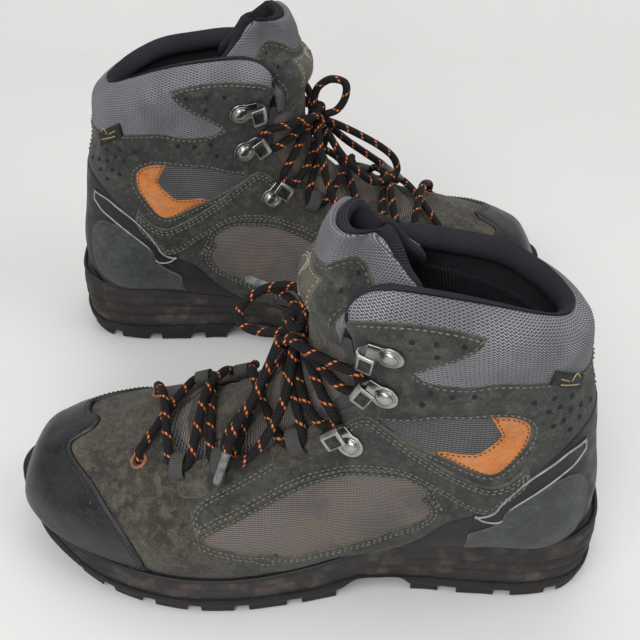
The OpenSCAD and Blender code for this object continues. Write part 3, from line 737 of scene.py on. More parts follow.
def make_materials():
    """Every material of the boots, by name."""
    b = settings()
    quarter, vamp, yarn = (tuple(c) for c in (b.quarter_colour, b.vamp_colour, b.knit_colour))
    rear_vamp = tuple(0.8 * c for c in vamp)
    material("Vamp suede", suede(vamp, rear_vamp, (0.014, 0.0135, 0.0115), (0.150, 0.124, 0.088)),
             0.9, sheen=0.1)
    material("Quarter suede", suede(vamp, quarter, (0.012, 0.0135, 0.0125), (0.100, 0.096, 0.078)),
             0.9, sheen=0.1)
    material("Heel patch suede",
             suede(quarter, (0.045, 0.053, 0.050), (0.020, 0.024, 0.023), (0.075, 0.082, 0.074)),
             0.9, sheen=0.12)
    material("Orange nubuck",
             suede((0.66, 0.235, 0.05), (0.62, 0.2, 0.035), (0.42, 0.13, 0.025), (0.55, 0.27, 0.12),
                   (0.3, 0.11, 0.04)), 0.85, sheen=0.15)
    material("Collar knit", knit(yarn, (0.035, 0.035, 0.04), 1.9, 0.62), 0.85, sheen=0.1)
    material("Window mesh",
             knit((0.25, 0.215, 0.195), (0.034, 0.03, 0.03), 1.45, 0.3, dust=(0.27, 0.215, 0.165)),
             0.88, sheen=0.08)
    material("Ankle mesh", knit((0.16, 0.155, 0.16), (0.012, 0.012, 0.013), 1.7, 0.3), 0.88, sheen=0.08)
    material("Lining fabric", knit((0.042, 0.039, 0.048), (0.009, 0.009, 0.011), 1.1, 0.1, 0.0003),
             0.92, specular=0.2)
    material("Webbing", knit((0.10, 0.096, 0.09), (0.018, 0.017, 0.016), 0.9, 0.5, 0.0004),
             0.85, sheen=0.05)
    material("Footbed felt", knit((0.07, 0.075, 0.09), (0.02, 0.021, 0.026), 1.2, 0.3, 0.0003),
             0.92, sheen=0.2)
    material("Cap rubber",
             scuffed((0.0085, 0.0088, 0.010), (0.013, 0.0135, 0.0155), (0.045, 0.043, 0.043),
                     60.0, 0.00022, (0.30, 0.48)), 0.4, specular=0.45)
    material("Tread rubber",
             scuffed((0.008, 0.008, 0.0085), (0.018, 0.0165, 0.016), (0.075, 0.064, 0.055),
                     90.0, 0.0004, (0.55, 0.8)), 0.7, specular=0.3)
    material("Midsole foam", plain((0.023, 0.020, 0.019), (0.072, 0.057, 0.049), 85.0, 0.0004, 1100.0,
                                   0.46, 0.72, (0.6, 0.85)), 0.75, specular=0.35)
    material("Frame plastic",
             scuffed((0.008, 0.008, 0.0095), (0.013, 0.013, 0.015), (0.035, 0.034, 0.035),
                     120.0, 0.00015, (0.4, 0.6)), 0.45, specular=0.35)
    material("Silver line", plain((0.36, 0.37, 0.38), (0.24, 0.25, 0.26), 400.0, 0.0001), 0.45, metal=0.35)
    material("Hook steel",
             plain((0.40, 0.39, 0.38), (0.28, 0.27, 0.255), 180.0, 0.00002, rough=(0.2, 0.36)),
             0.28, metal=1.0)
    # Near-black block inside each hook: painted shade that stands for the dark opening of the hook.
    material("Hook opening shade",
             plain((0.02, 0.02, 0.02), (0.05, 0.048, 0.045), 300.0, 0.00003, rough=(0.35, 0.5)), metal=0.6)
    material("Badge leather", scuffed((0.10, 0.088, 0.06), (0.075, 0.068, 0.05), (0.16, 0.14, 0.10),
                                      150.0, 0.0004, (0.5, 0.7)), 0.6)
    material("Stitching",
             plain((0.115, 0.12, 0.108), (0.19, 0.185, 0.16), 700.0, 0.0002, rough=(0.75, 0.9)), 0.85)
    material("Dark stitching", plain((0.03, 0.03, 0.03), (0.055, 0.053, 0.05), 700.0, 0.0002), 0.85)
    material("Pale stitching", plain((0.30, 0.29, 0.25), (0.19, 0.18, 0.15), 700.0, 0.0002), 0.85)
    # Near-black discs: painted shade that stands for the inside of punched holes.
    material("Punched hole shade", plain((0.004, 0.004, 0.004), (0.008, 0.007, 0.006)), 0.95)
    material("Eyelet rim", plain((0.30, 0.13, 0.06), (0.14, 0.08, 0.05), 500.0, 0.0003), 0.8)
    material("Aglet film",
             plain((0.15, 0.15, 0.15), (0.07, 0.07, 0.07), 300.0, 0.0001, rough=(0.18, 0.3)), 0.22, coat=0.4)
    material("Label", plain((0.010, 0.010, 0.010), (0.018, 0.017, 0.016), 800.0, 0.0002), 0.7)
    material("Gold mark", plain((0.42, 0.33, 0.14), (0.30, 0.24, 0.11), 800.0, 0.0001), 0.5)
    material("Board fibre", plain((0.28, 0.25, 0.20), (0.2, 0.18, 0.15)), 0.9)
    material("Stiffener", plain((0.26, 0.24, 0.21), (0.2, 0.19, 0.17)), 0.8)
    material("Lace", braid, 0.75, specular=0.25)


# ---------------------------------------------------------------- shapes of this pair
def foot_line(u0, u1, sign=1, n=9):
    """Points just below the upper's lower edge from section u0 to u1."""
    return [(u, sign * min(179.0, float(foot_angle(u)) + 1)) for u in np.linspace(u0, u1, n)]


# Outlines of the cut pieces, as [section, angle] points; a third value marks a sharp corner.
WINDOW = [(6.0, 71, 1), (6.4, 66), (7.3, 63), (8.1, 64.5), (8.8, 69.5), (9.5, 74.5), (10.05, 79), (10.25, 84),
          (10.1, 89), (9.2, 93), (8.2, 95), (7.5, 92), (6.9, 87), (6.4, 79)]
ANKLE = [(11.5, 60), (12.3, 71), (12.95, 81), (13.45, 92), (13.72, 101), (13.85, 110), (13.75, 116.5),
         (13.4, 115.5), (12.85, 107.5), (12.1, 95), (11.8, 83), (11.55, 71), (11.4, 63)]
WINDOW_MESH = [(5.7, 66), (6.4, 60), (7.3, 57), (8.2, 58), (9.0, 63), (10.2, 73), (10.6, 80), (10.4, 93),
               (9.3, 98), (8.2, 100), (7.2, 98), (6.2, 86)]
ANKLE_MESH = [(11.2, 56), (12.4, 66), (13.2, 78), (13.8, 90), (14.1, 104), (14.1, 120), (13.2, 119),
              (12.4, 108), (11.6, 94), (11.3, 80), (11.1, 66)]
ORANGE = [(13.72, 100, 1), (13.9, 110), (13.8, 117), (13.4, 116), (12.8, 108), (12.0, 95), (11.78, 84),
          (11.66, 78, 1), (11.98, 81.5), (12.35, 89), (12.95, 98), (13.3, 103, 1)]
QUARTER = ([(5.6, 31, 1), (6.3, 29.5), (7.3, 33), (8.4, 38.5), (10, 45), (11.5, 48), (13, 49.5), (15, 49),
            (16.3, 49), (16.75, 56), (16.95, 66), (17.1, 80), (17.1, 94), (17.0, 103, 1), (16.5, 99),
            (15.5, 88), (14.5, 78, 1), (14.3, 82), (14.7, 94), (15.2, 108), (15.45, 132), (15.6, 155),
            (15.7, 179.6, 1), (14.2, 179.6), (12.6, 179.6), (11.3, 179.6, 1)]
           + foot_line(11.05, 6.7)[:-1]
           + [(6.65, 108, 1), (6.25, 90), (5.97, 79), (5.9, 71), (5.8, 58), (5.62, 44)])
VAMP = (foot_line(2.0, 6.8)[:-1] + [(6.8, 108, 1), (6.4, 90), (6.1, 76), (6.0, 60), (5.85, 45), (5.8, 32, 1),
        (5.45, 24), (5.15, 15), (4.95, 6), (4.9, -6), (5.15, -15), (5.45, -24), (5.8, -32, 1), (5.85, -45),
        (6.0, -60), (6.1, -76), (6.4, -90), (6.8, -106, 1)]
        + foot_line(6.6, 2.0, -1) + [(2.0, -60), (2.0, 0), (2.0, 60)])
TOE_CAP = (foot_line(0.2, 4.95)[:-1] + [(5.05, 106, 1), (4.82, 85), (4.4, 66), (3.65, 43), (2.9, 26),
           (2.62, 16), (2.8, 9), (3.15, 3), (3.2, -5), (2.85, -16), (2.85, -34), (3.5, -48), (4.3, -66),
           (4.8, -85), (5.05, -106, 1)] + foot_line(4.75, 0.2, -1) + [(0.2, -40), (0.2, 40)])
STRAP = [(6.2, 45), (7.4, 41.5), (8.6, 47), (9.6, 50.5), (10.6, 50.5), (11.3, 55), (11.42, 66), (11.45, 80),
         (11.62, 91), (12.1, 101), (12.75, 112, 1), (12.35, 112), (11.5, 99), (10.75, 92.5), (10.5, 86),
         (10.3, 77.5), (9.65, 71.5), (8.85, 67), (8.1, 61), (7.3, 59.5), (6.4, 62.5), (5.9, 67.5, 1),
         (5.8, 60), (5.8, 52)]
TABS = [[(5.5, 31), (5.45, 38), (5.6, 45), (6.2, 45.5), (6.45, 38), (6.35, 29), (6.0, 27), (5.7, 27.5)],
        [(7.6, 35), (7.5, 41), (7.6, 48), (8.3, 53), (9.1, 56), (9.35, 52), (9.0, 44), (8.4, 38.5)]]
FRAME = ([(8.7, 123), (9.5, 97.5), (10.6, 92.5), (11.6, 97), (12.5, 112), (13.25, 130), (13.75, 150),
          (13.95, 165), (14.0, 179.6, 1), (12.6, 179.6), (11.3, 179.6, 1)] + foot_line(11.1, 9.0, n=6))
STRIP = [(10.6, 92.5, 1), (11.06, 94.4), (11.5, 97), (12.1, 105), (12.6, 114.5), (13, 125.5), (13.3, 136),
         (13.5, 151, 1), (13.25, 151, 1), (13, 142.5), (12.75, 132), (12.4, 121), (11.98, 111), (11.5, 102),
         (11.15, 99.6), (10.8, 98), (10.6, 95.2)]
PATCH = [(9.75, 117.5, 1), (9.95, 106), (10.2, 100), (11.2, 98), (11.75, 105), (12.25, 116), (12.6, 129),
         (12.72, 142), (12.5, 150), (12.0, 150), (11.5, 145), (11.1, 134), (10.6, 126), (10.2, 122)]
LABEL = [(15.95, 132, 1), (15.5, 153, 1), (14.98, 150, 1), (15.4, 130, 1)]
LABEL_MARKS = ([(15.55, 148), (15.75, 145), (15.5, 142)], [(15.52, 140), (15.66, 135)],
               [(15.25, 148), (15.42, 135)])
HOLES = [(16.4, 78), (16.5, 86), (16.6, 94), (15.9, 86), (13.9, 82), (14.05, 89), (14.35, 96), (13.35, 78),
         (14.55, 121), (14.8, 132), (14.45, 134), (14.25, 127), (14.3, 140), (14.35, 149), (14.3, 160),
         (14.0, 134), (14.0, 146), (13.85, 128), (13.75, 138), (14.8, 143)]
# Half angle of the tongue's top, by section.
flap_width = table([13.6, 15.2, 16.2, 17.0, 17.7, 18.3, 18.8, 19.3, 19.7, 20.0, 20.25],
                   [40, 44, 54, 67, 78, 82, 78, 68, 55, 44, 29])
FLAP_SUEDE = both_halves([(13.62, 37), (15, 39), (16.2, 43), (16.8, 50), (17.6, 55), (18.5, 54), (18.95, 47),
                          (18.95, 38), (18.7, 27), (18.75, 12)], 18.8, 13.6)
BADGE = [(15.3, 27, 1), (18.2, 28, 1), (18.2, -28, 1), (15.3, -27, 1)]
TONGUE_PADS = [both_halves([(5.5, 13), (6.0, 18), (6.9, 19), (7.3, 12)], 7.35, 5.35),
               both_halves([(7.9, 14), (8.6, 25), (10.5, 28), (12.6, 31), (13.3, 24)], 13.3, 7.75)]

# The sole, in millimetres from the heel: its outline, the heights of its top and underside, its lugs.
OUTLINE = [[2, 14], [11, 28], [32, 36], [62, 38.5], [90, 39], [115, 43], [145, 53], [175, 61], [203, 64],
           [230, 61], [255, 53], [277, 39], [292, 23], [301, 7], [300, -8], [291, -23], [273, -36],
           [248, -45], [218, -49], [190, -48], [160, -42], [125, -38], [90, -37], [55, -37], [28, -33],
           [10, -25], [2, -11]]
tread_top = table([0, 10, 95, 118, 140, 235, 262, 282, 294, 303], [15, 11, 11, 14, 10, 9, 11, 16, 23, 32])
ground = table([0, 5, 14, 92, 98, 120, 128, 238, 262, 281, 294, 303], [12, 3, 0, 0, 7, 8, 0, 0, 3, 9, 17, 27])
LUGS = [(5, 17), (23, 41), (49, 68.5), (77.5, 92), (129, 146.5), (153.5, 172.5), (179.5, 196.5),
        (203.5, 220.5), (227.5, 243), (249, 262), (268, 277), (283, 293)]
CENTRE_LUGS = [(30, 44), (52, 66), (140, 154), (162, 176), (184, 198), (206, 220), (228, 242)]


def sole_ring(step=2.4):
    """The sole's outline at an even step."""
    return spaced(looped(spline(OUTLINE, closed=True)), step)[:-1]


def ring_normals(ring):
    """Directions out of a flat closed line."""
    t = np.roll(ring, -1, 0) - np.roll(ring, 1, 0)
    n = np.stack([t[:, 1], -t[:, 0]], 1)
    n /= np.linalg.norm(n, axis=1, keepdims=True)
    return n if area(ring) > 0 else -n


def feather(x):
    """Height of the sole's top edge."""
    us = np.linspace(0.3, HEEL, 60)
    p = skin(us, foot_angle(us))
    return np.interp(x, p[::-1, 0], p[::-1, 2])


def sole_wall(low, high, rows, outset):
    """Closed slab between two heights; outset(k, x, y) moves its wall out, for k from 0 to 1."""
    ring = sole_ring()
    n = ring_normals(ring)
    x = ring[:, 0]
    z0, z1 = low(x), high(x)
    inner = ring - n * 7.0
    out = [np.column_stack([inner, z0])]
    for k in np.linspace(0, 1, rows):
        out.append(np.column_stack([ring + n * outset(k, x, ring[:, 1])[:, None], z0 + (z1 - z0) * k]))
    out.append(np.column_stack([inner, z1 + 0.6]))
    v, f = loft(np.array(out), close_col=True)
    m = len(ring)
    lid = [[j for j in range(m)], [j + (len(out) - 1) * m for j in range(m)][::-1]]
    return v, outward(v, f + [tuple(q) for q in lid])


def bump_line(k, at, width):
    """A soft groove or ridge along the wall at that share of its height."""
    return np.exp(-((k - at) / width) ** 2)


def midsole_outset(k, x, y):
    """The midsole's bulge and bands, with deeper bands at the heel."""
    heel = np.clip((128 - x) / 40, 0, 1)
    fore = np.clip((x - 120) / 40, 0, 1)
    p = np.column_stack([x, y, np.full_like(x, 60.0 * k)])
    out = -1.6 + 1.5 * math.sin(math.pi * min(1, k * 1.02)) ** 0.6 - 1.1 * max(0.0, k - 0.8) * 5
    out = out + heel * (0.5 - 1.7 * bump_line(k, 0.30 + 0.0010 * x, 0.045)
                        - 1.5 * bump_line(k, 0.56 + 0.0006 * x, 0.04) - 0.9 * bump_line(k, 0.80, 0.035))
    out = out + fore * (-0.8 * bump_line(k, 0.62, 0.07)) + 0.18 * waves(p, 9, 5)
    return out


def rim_outset(k, x, y):
    """The tread's edge, which comes further out under the toe."""
    toe = np.clip((x - 255) / 25, 0, 1)
    rough = waves(np.column_stack([x, y, 0 * x + 9 * k]), 7, 8)
    return 0.6 + 0.5 * math.sin(math.pi * k) + 1.6 * toe * (1 - k) + 0.12 * rough


def rim_top(x):
    """Height of the tread's edge, which climbs over the toe."""
    return np.where(x > 262, np.minimum(tread_top(x) + 2.6, feather(x) + 4.5), tread_top(x) + 0.8)


def edge_y(x, sign):
    """Half width of the sole at x on one side."""
    ring = sole_ring(2.0)
    half = ring[ring[:, 1] * sign > 0]
    half = half[np.argsort(half[:, 0])]
    return np.interp(x, half[:, 0], half[:, 1])


def lug(corners):
    """A tread block with sloping sides and a small bevel, from its plan."""
    c = np.array(corners, float)
    mid = c.mean(0)
    d = (mid - c) / np.maximum(np.linalg.norm(mid - c, axis=1, keepdims=True), 1e-6)
    low, bevel, slope = ground(c[:, 0]), 0.7, 0.45
    rows = [np.column_stack([c, tread_top(c[:, 0]) - 1.0]), np.column_stack([c + d * slope, low + bevel]),
            np.column_stack([c + d * (slope + bevel), low])]
    v, f = loft(np.array(rows), close_col=True, caps=True)
    return v, outward(v, f)


def lugs():
    """Every tread block: pairs along the edges, and single or paired ones down the middle."""
    parts = []
    for x0, x1 in LUGS:
        for sign in (1, -1):
            xs = np.linspace(x0, x1, 5)
            y = edge_y(xs, sign)
            depth = np.minimum(np.abs(y) - 5.5, 17) if x1 > 125 else np.minimum(np.abs(y) - 7, 15)
            outer = np.column_stack([xs, y + sign * 0.5])
            slant = 2.0 * (1 if x0 > 125 else -1)
            inner = np.column_stack([xs + slant, y - sign * np.maximum(depth, 3)])[::-1]
            parts.append(lug(np.vstack([outer, inner])))
    for x0, x1 in CENTRE_LUGS:
        for y0, y1 in ((6.8, 17), (-17, -6.8)) if x0 > 125 else ((-4.6, 4.6),):
            m = (y0 + y1) / 2
            parts.append(lug([(x0, y0 + 1.5), (x0 + 3, m), (x0, y1 - 1.5), (x1 - 2, y1), (x1 + 1, m),
                              (x1 - 2, y0)]))
    return joined(parts)


def padded_shell(us, half_angle, outer, inner, columns, soft=4.0, bend=None):
    """A closed pad over the throat, between two offsets, with rounded edges all round."""
    us = np.asarray(us, float)
    rows_out, rows_in = [], []
    along = lengths(skin(us, 0 * us))
    for u, s in zip(us, along):
        lo, hi = -half_angle(u), half_angle(u)
        a = lo + (hi - lo) * eased(columns)
        p = skin(u, a)
        w = lengths(p)
        d = np.minimum(np.minimum(w, w[-1] - w), min(s, along[-1] - s))
        f = rounded(d, soft)
        mid, half = (outer(u) + inner(u)) / 2, (outer(u) - inner(u)) / 2
        mid = mid + (bend(u, a) if bend else 0)
        rows_out.append((np.full_like(a, u), a, mid + half * f))
        rows_in.append((np.full_like(a, u), a, mid - half * f))
    grid = []
    for rows in (rows_out, rows_in):
        r = np.array(rows)
        grid.append(body(r[:, 0], r[:, 1], r[:, 2]))
    n, m = grid[0].shape[:2]
    v = np.vstack([grid[0].reshape(-1, 3), grid[1].reshape(-1, 3)])
    faces = [(i * m + j, i * m + j + 1, (i + 1) * m + j + 1, (i + 1) * m + j)
             for i in range(n - 1) for j in range(m - 1)]
    k = n * m
    faces += [tuple(q + k for q in reversed(f)) for f in faces]
    loop = ([(0, j) for j in range(m)] + [(i, m - 1) for i in range(1, n)]
            + [(n - 1, j) for j in range(m - 2, -1, -1)] + [(i, 0) for i in range(n - 2, 0, -1)])
    ids = [i * m + j for i, j in loop]
    faces += [(a, a + k, b + k, b) for a, b in zip(ids, ids[1:] + ids[:1])]
    r = np.array(rows_out)
    uv = np.column_stack([r[:, 1].ravel() * 0.85, r[:, 0].ravel() * 16])
    return v, outward(v, faces), np.vstack([uv, uv])


# One run of the lace from an eyelet to the knot: section, angle, height over the upper.
LACE = [(4.5, 24.5, -1), (4.55, 21, 4), (4.8, 10, 5.3), (5, 0, 5.3), (5.2, -16, 4.3), (5.33, -28, 3.8),
        (5.67, -30, 3.8), (5.85, -20, 4.5), (6, 0, 5.3), (6.13, 20, 4.5), (6.24, 30, 3.8), (6.57, 32, 3.8),
        (6.8, 26, 4.5), (7.3, 0, 5.3), (7.8, -32, 4.5), (8.1, -41, 3.8), (8.5, -43, 3.8), (8.75, -30, 4.5),
        (9.1, 0, 5.3), (9.3, 30, 4.8), (9.5, 45, 4.2), (10.1, 46, 4.2), (10.5, 32, 4.8), (11, 0, 5.3),
        (11.8, -38, 4.8), (12.4, -51, 4.2), (13.4, -53, 4.2), (13.2, -42, 6), (12, -18, 7)]
KNOT = (153, 3, 143)
CROSSING_STEP = 5.4  # how far the upper run stands off the lower one where they cross
# Free laces of each boot, in millimetres in its own frame: bow loops, hanging ends, tips of the aglets.
FREE = {
    "left": ([[(158, -2, 139), (166, -5, 134), (176, -10, 130), (183, -16, 129), (184, -23, 131), (179, -28, 135),
               (170, -30, 140), (158, -26, 145), (152, -16, 147), (152, -5, 147)],
              [(154, 9, 139), (155, 18, 127), (158, 27, 117), (164, 35, 106), (171, 39, 97), (177, 41, 94),
               (182, 37, 95), (183, 31, 99), (179, 25, 105), (172, 20, 114), (164, 14, 128), (159, 9, 139)]],
             [[(154, -4, 143), (154, -11, 142), (157, -19, 140), (162, -27, 138), (170, -35, 135)],
              [(160, 5, 142), (165, 15, 131), (171, 24, 119), (178, 32, 109), (181, 40, 100)]],
             [(184, -42, 134), (186, 46, 84)]),
    "right": ([[(153, 2, 149), (153, 0, 155), (156, -1, 161), (163, -1, 165), (171, -1, 162), (171, 1, 154),
                (166, 3, 147), (159, 4, 145)],
               [(159, 0, 139), (168, -3, 133), (180, -5, 125), (194, -6, 115), (203, -6, 106), (205, -3, 98),
                (198, 4, 98), (189, 12, 101), (180, 15, 110), (168, 13, 123), (159, 9, 138)]],
              [[(158, -3, 141), (163, -8, 130), (172, -12, 118), (184, -12, 108), (196, -11, 99)],
               [(154, 10, 143), (155, 21, 132), (158, 31, 118), (163, 40, 105), (167, 46, 96)]],
              [(210, -10, 87), (173, 51, 82)])}


def lace_path(sign):
    """The run that starts on that side; the inner one passes over the outer one."""
    q = []
    for u, a, h in LACE:
        over = sign < 0 and abs(a) < 30
        step = CROSSING_STEP * max(0.0, math.cos(math.radians(3 * a))) if over else 0.0
        q.append(skin(u, sign * a) + normal(u, sign * a) * (h + step))
    q = np.array(q + [KNOT])
    return spline(q, per=9)


# ---------------------------------------------------------------- settings and operators
def colour_prop(name, description, default):
    return FloatVectorProperty(name=name, description=description, subtype="COLOR", size=3, min=0, max=1,
                               default=default)


def length_prop(name, description, default, low, high):
    return FloatProperty(name=name, description=description, subtype="DISTANCE", unit="LENGTH",
                         default=default, min=low, max=high, precision=4)


class BootSettings(bpy.types.PropertyGroup):
    """Sizes and colours of the boots."""
    suede_thickness: length_prop("Suede thickness", "Thickness of the suede panels", 0.0016, 0.001, 0.0022)
    lace_diameter: length_prop("Lace diameter", "Diameter of the round lace", 0.0046, 0.0035, 0.0055)
    stitch_pitch: length_prop("Stitch pitch", "Distance from stitch to stitch", 0.003, 0.002, 0.005)
    vamp_colour: colour_prop("Vamp suede", "Colour of the suede over the forefoot", (0.058, 0.052, 0.040))
    quarter_colour: colour_prop("Quarter suede", "Colour of the suede round the ankle", (0.034, 0.037, 0.034))
    knit_colour: colour_prop("Collar knit", "Colour of the collar's yarn", (0.31, 0.31, 0.335))
    fleck_colour: colour_prop("Lace fleck", "Colour of the flecks in the lace", (0.72, 0.20, 0.055))
    floor_colour: colour_prop("Floor", "Colour of the floor and backdrop", (0.68, 0.675, 0.66))


def settings():
    return bpy.context.scene.boots


def deselect():
    """Leaves nothing selected."""
    for o in bpy.context.selected_objects:
        o.select_set(False)


def take_mesh(obj):
    """Points in millimetres and faces of a modelled object, which is then removed."""
    deg = bpy.context.evaluated_depsgraph_get()
    mesh = obj.evaluated_get(deg).to_mesh()
    v = np.array([obj.matrix_world @ p.co for p in mesh.vertices], float) * 1000
    f = [tuple(p.vertices) for p in mesh.polygons]
    obj.to_mesh_clear()
    bpy.data.objects.remove(obj)
    return v, f


# The view: where the camera stands, its tilt and lens; then the floor and the curve of its backdrop.
CAMERA_AT, CAMERA_TILT, LENS, SENSOR = (0.0064, -0.4003, 0.4379), 47.0, 53.4, 36.0
FLOOR_SIZE, FLOOR_AT = (6, 2.4, 1), (0, -0.75, -0.0004)
CURVE_START, CURVE_RADIUS, BACKDROP_TOP = 0.45, 0.35, 2.2
# Lamps: place, size, power, point they face.
LAMPS = (((-0.5, -0.75, 1.35), 0.9, 10, (0, 0, 0.05)), ((0.95, -0.2, 1.15), 0.8, 5.5, (0, 0, 0.05)),
         ((0.0, 0.35, 1.5), 1.0, 6.5, (0, 0, 0.1)), ((-0.2, -1.3, 0.75), 0.9, 8.5, (0, 0, 0.08)))
SKY, SKY_STRENGTH = (0.90, 0.93, 0.96, 1), 0.36


class BOOTS_OT_stage(bpy.types.Operator):
    """Adds the camera, the pale floor with its backdrop, and soft studio light"""
    bl_idname = "boots.stage"
    bl_label = "Stage"

    def execute(self, context):
        deselect()
        scene = context.scene
        bpy.ops.object.camera_add(location=CAMERA_AT, rotation=(math.radians(CAMERA_TILT), 0, 0))
        cam = context.object
        cam.data.lens, cam.data.sensor_width = LENS, SENSOR
        scene.camera = cam
        bpy.ops.mesh.primitive_plane_add(size=1, location=(0, 0, 0))
        floor = context.object
        floor.name = "Floor"
        floor.scale, floor.location = FLOOR_SIZE, FLOOR_AT
        bpy.ops.object.transform_apply(location=True, rotation=True, scale=True)
        curve = [(CURVE_START + CURVE_RADIUS * math.sin(t), CURVE_RADIUS * (1 - math.cos(t)))
                 for t in np.linspace(0, math.pi / 2, 14)]
        curve.append((CURVE_START + CURVE_RADIUS, BACKDROP_TOP))
        wide, drop = FLOOR_SIZE[0] / 2, FLOOR_AT[2]
        v, f = loft(np.array([[(-wide, y, z + drop), (wide, y, z + drop)] for y, z in curve]))
        mesh = bpy.data.meshes.new("Backdrop")
        mesh.from_pydata(v.tolist(), [], [tuple(reversed(q)) for q in f])
        mesh.polygons.foreach_set("use_smooth", [True] * len(mesh.polygons))
        back = bpy.data.objects.new("Backdrop", mesh)
        scene.collection.objects.link(back)
        paper = bpy.data.materials.new("Floor paper")
        paper.use_nodes = True
        s = Shader(paper.node_tree)
        bsdf = paper.node_tree.nodes["Principled BSDF"]
        base = tuple(settings().floor_colour)
        at = s.node("TexCoord", "Object")
        uneven = s.range(s.noise(at, 3.0), 0.35, 0.65)
        s.put(bsdf.inputs["Base Color"], s.mix(uneven, base, tuple(c * 0.97 for c in base)))
        bsdf.inputs["Roughness"].default_value = 0.55
        for o in (floor, back):
            o.data.materials.append(paper)
        for where, size, power, aim in LAMPS:
            bpy.ops.object.light_add(type="AREA", location=where)
            lamp = context.object
            lamp.data.energy, lamp.data.size = power, size
            lamp.rotation_euler = (Vector(aim) - Vector(where)).to_track_quat("-Z", "Y").to_euler()
        world = scene.world or bpy.data.worlds.new("World")
        scene.world = world
        world.use_nodes = True
        sky = world.node_tree.nodes["Background"]
        sky.inputs["Color"].default_value, sky.inputs["Strength"].default_value = SKY, SKY_STRENGTH
        scene.view_settings.view_transform = "Standard"
        deselect()
        return {"FINISHED"}


LACE_STEP = 1.1
# An aglet from the lace to its tip: share of its length, radius.
aglet_radius = table([0, 0.06, 0.12, 0.9, 1], [2.35, 2.4, 2.2, 2.05, 1.5])


def free_lace(name, side, points, stands):
    """One free run of lace, with its path in millimetres."""
    path = spaced(spline(points, per=10), LACE_STEP)
    v, f, uv = tube(path, lace_radius(), 12)
    return build(name, side, v, f, "Lace", "lace", uv=uv, replaces=(stands,)), path


def lace_radius():
    return settings().lace_diameter / MM / 2


class BOOTS_OT_free_laces(bpy.types.Operator):
    """Adds the bow loops and hanging ends of the laces, with their aglets"""
    bl_idname = "boots.free_laces"
    bl_label = "Bows and lace ends"

    def execute(self, context):
        for side in SIDES:
            loops, tails, tips = FREE[side]
            for i, points in enumerate(loops):
                o, path = free_lace(f"bow_loop_{i + 1}", side, points, "bow_loops")
            for i, (points, tip) in enumerate(zip(tails, tips)):
                o, path = free_lace(f"lace_end_{i + 1}", side, points, "lace_tails")
                v, f, uv = tube(np.linspace(path[-1], tip, 16), aglet_radius(np.linspace(0, 1, 16)), 16)
                a = build(f"aglet_{i + 1}", side, v, f, "Aglet film", "aglet_film", uv=uv,
                          replaces=("aglets",))
        return {"FINISHED"}


class BOOTS_OT_sole(bpy.types.Operator):
    """Adds the sculpted midsole and the lugged outsole"""
    bl_idname = "boots.sole"
    bl_label = "Soles"

    def execute(self, context):
        mid = sole_wall(lambda x: tread_top(x) - 1.5, lambda x: feather(x) + 2.2, 26, midsole_outset)
        rim = sole_wall(lambda x: np.maximum(ground(x) + 5.6, tread_top(x) - 5.5), rim_top, 8, rim_outset)
        ring = sole_ring()
        rope = np.column_stack([ring - ring_normals(ring) * 1.9, feather(ring[:, 0]) + 2.5])
        welt = tube(looped(rope), 1.15, 8, ends=False)
        for side in SIDES:
            build("midsole_wall", side, *mid, "Midsole foam", "midsole_foam", replaces=("midsole",))
            v, f, _ = joined([rim, lugs()])
            build("tread", side, v, f, "Tread rubber", "outsole_rubber", replaces=("outsole",),
                  smooth=False)
            build("welt", side, *welt[:2], "Frame plastic", "frame_plastic")
        return {"FINISHED"}


def inset(shape, d):
    """A closed line d millimetres inside an outline."""
    ring = seam(shape, closed=True)
    return looped(shifted(ring if area(ring) > 0 else ring[::-1], d))


def leather(name, shape, finish, slot, replaces=(), both=True, level=False, **extra):
    """One cut panel on both boots, and on both sides of each boot where it is the same there."""
    outer = panel(shape, **extra)
    kinds = [("outer", outer)]
    if both:
        extra["holes"] = [mirrored(h) for h in extra.get("holes", ())]
        kinds.append(("inner", panel(mirrored(shape), **extra)))
    for side in SIDES:
        for kind, (v, f, uv, values) in kinds:
            uv = v[:, [0, 2]] if level else uv
            stands = tuple(n.replace("*", kind) for n in replaces)
            build(f"{name}_{kind}" if both else name, side, v, f, finish, slot, uv=uv, values=values,
                  replaces=stands)


class BOOTS_OT_suede(bpy.types.Operator):
    """Adds the vamp, the side panels with their windows, the straps, tabs and heel patches"""
    bl_idname = "boots.suede"
    bl_label = "Suede panels"

    def execute(self, context):
        t = settings().suede_thickness / MM
        leather("vamp_panel", VAMP, "Vamp suede", "vamp_suede", ("vamp",), both=False, thick=t, base=-1.4,
                grid=2.0)
        leather("side_panel", QUARTER, "Quarter suede", "quarter_suede", ("quarter_*",),
                holes=[WINDOW, ANKLE], thick=t, base=-1.0, back=0.4)
        leather("strap", STRAP, "Quarter suede", "quarter_suede", thick=1.3, base=0.45, grid=2.0)
        for i, tab in enumerate(TABS):
            leather(f"loop_tab_{i + 1}", tab, "Vamp suede", "vamp_suede", thick=1.5, base=0.7, crown=0.9)
        leather("heel_panel", PATCH, "Heel patch suede", "patch_suede", ("heel_patch",), thick=1.3, base=0.9,
                crown=0.5)
        return {"FINISHED"}


class BOOTS_OT_windows(bpy.types.Operator):
    """Adds the mesh of the side windows and the orange inserts at the ankle"""
    bl_idname = "boots.windows"
    bl_label = "Mesh windows"

    def execute(self, context):
        flat = {"level": True, "thick": 0.5, "base": -1.7, "grid": 2.0}
        leather("window_mesh", WINDOW_MESH, "Window mesh", "knit", crown=0.9, **flat)
        leather("ankle_mesh", ANKLE_MESH, "Ankle mesh", "knit", crown=1.0, **flat)
        leather("orange_insert", ORANGE, "Orange nubuck", "orange_suede", ("ankle_insert",), thick=1.2,
                base=-1.2)
        return {"FINISHED"}


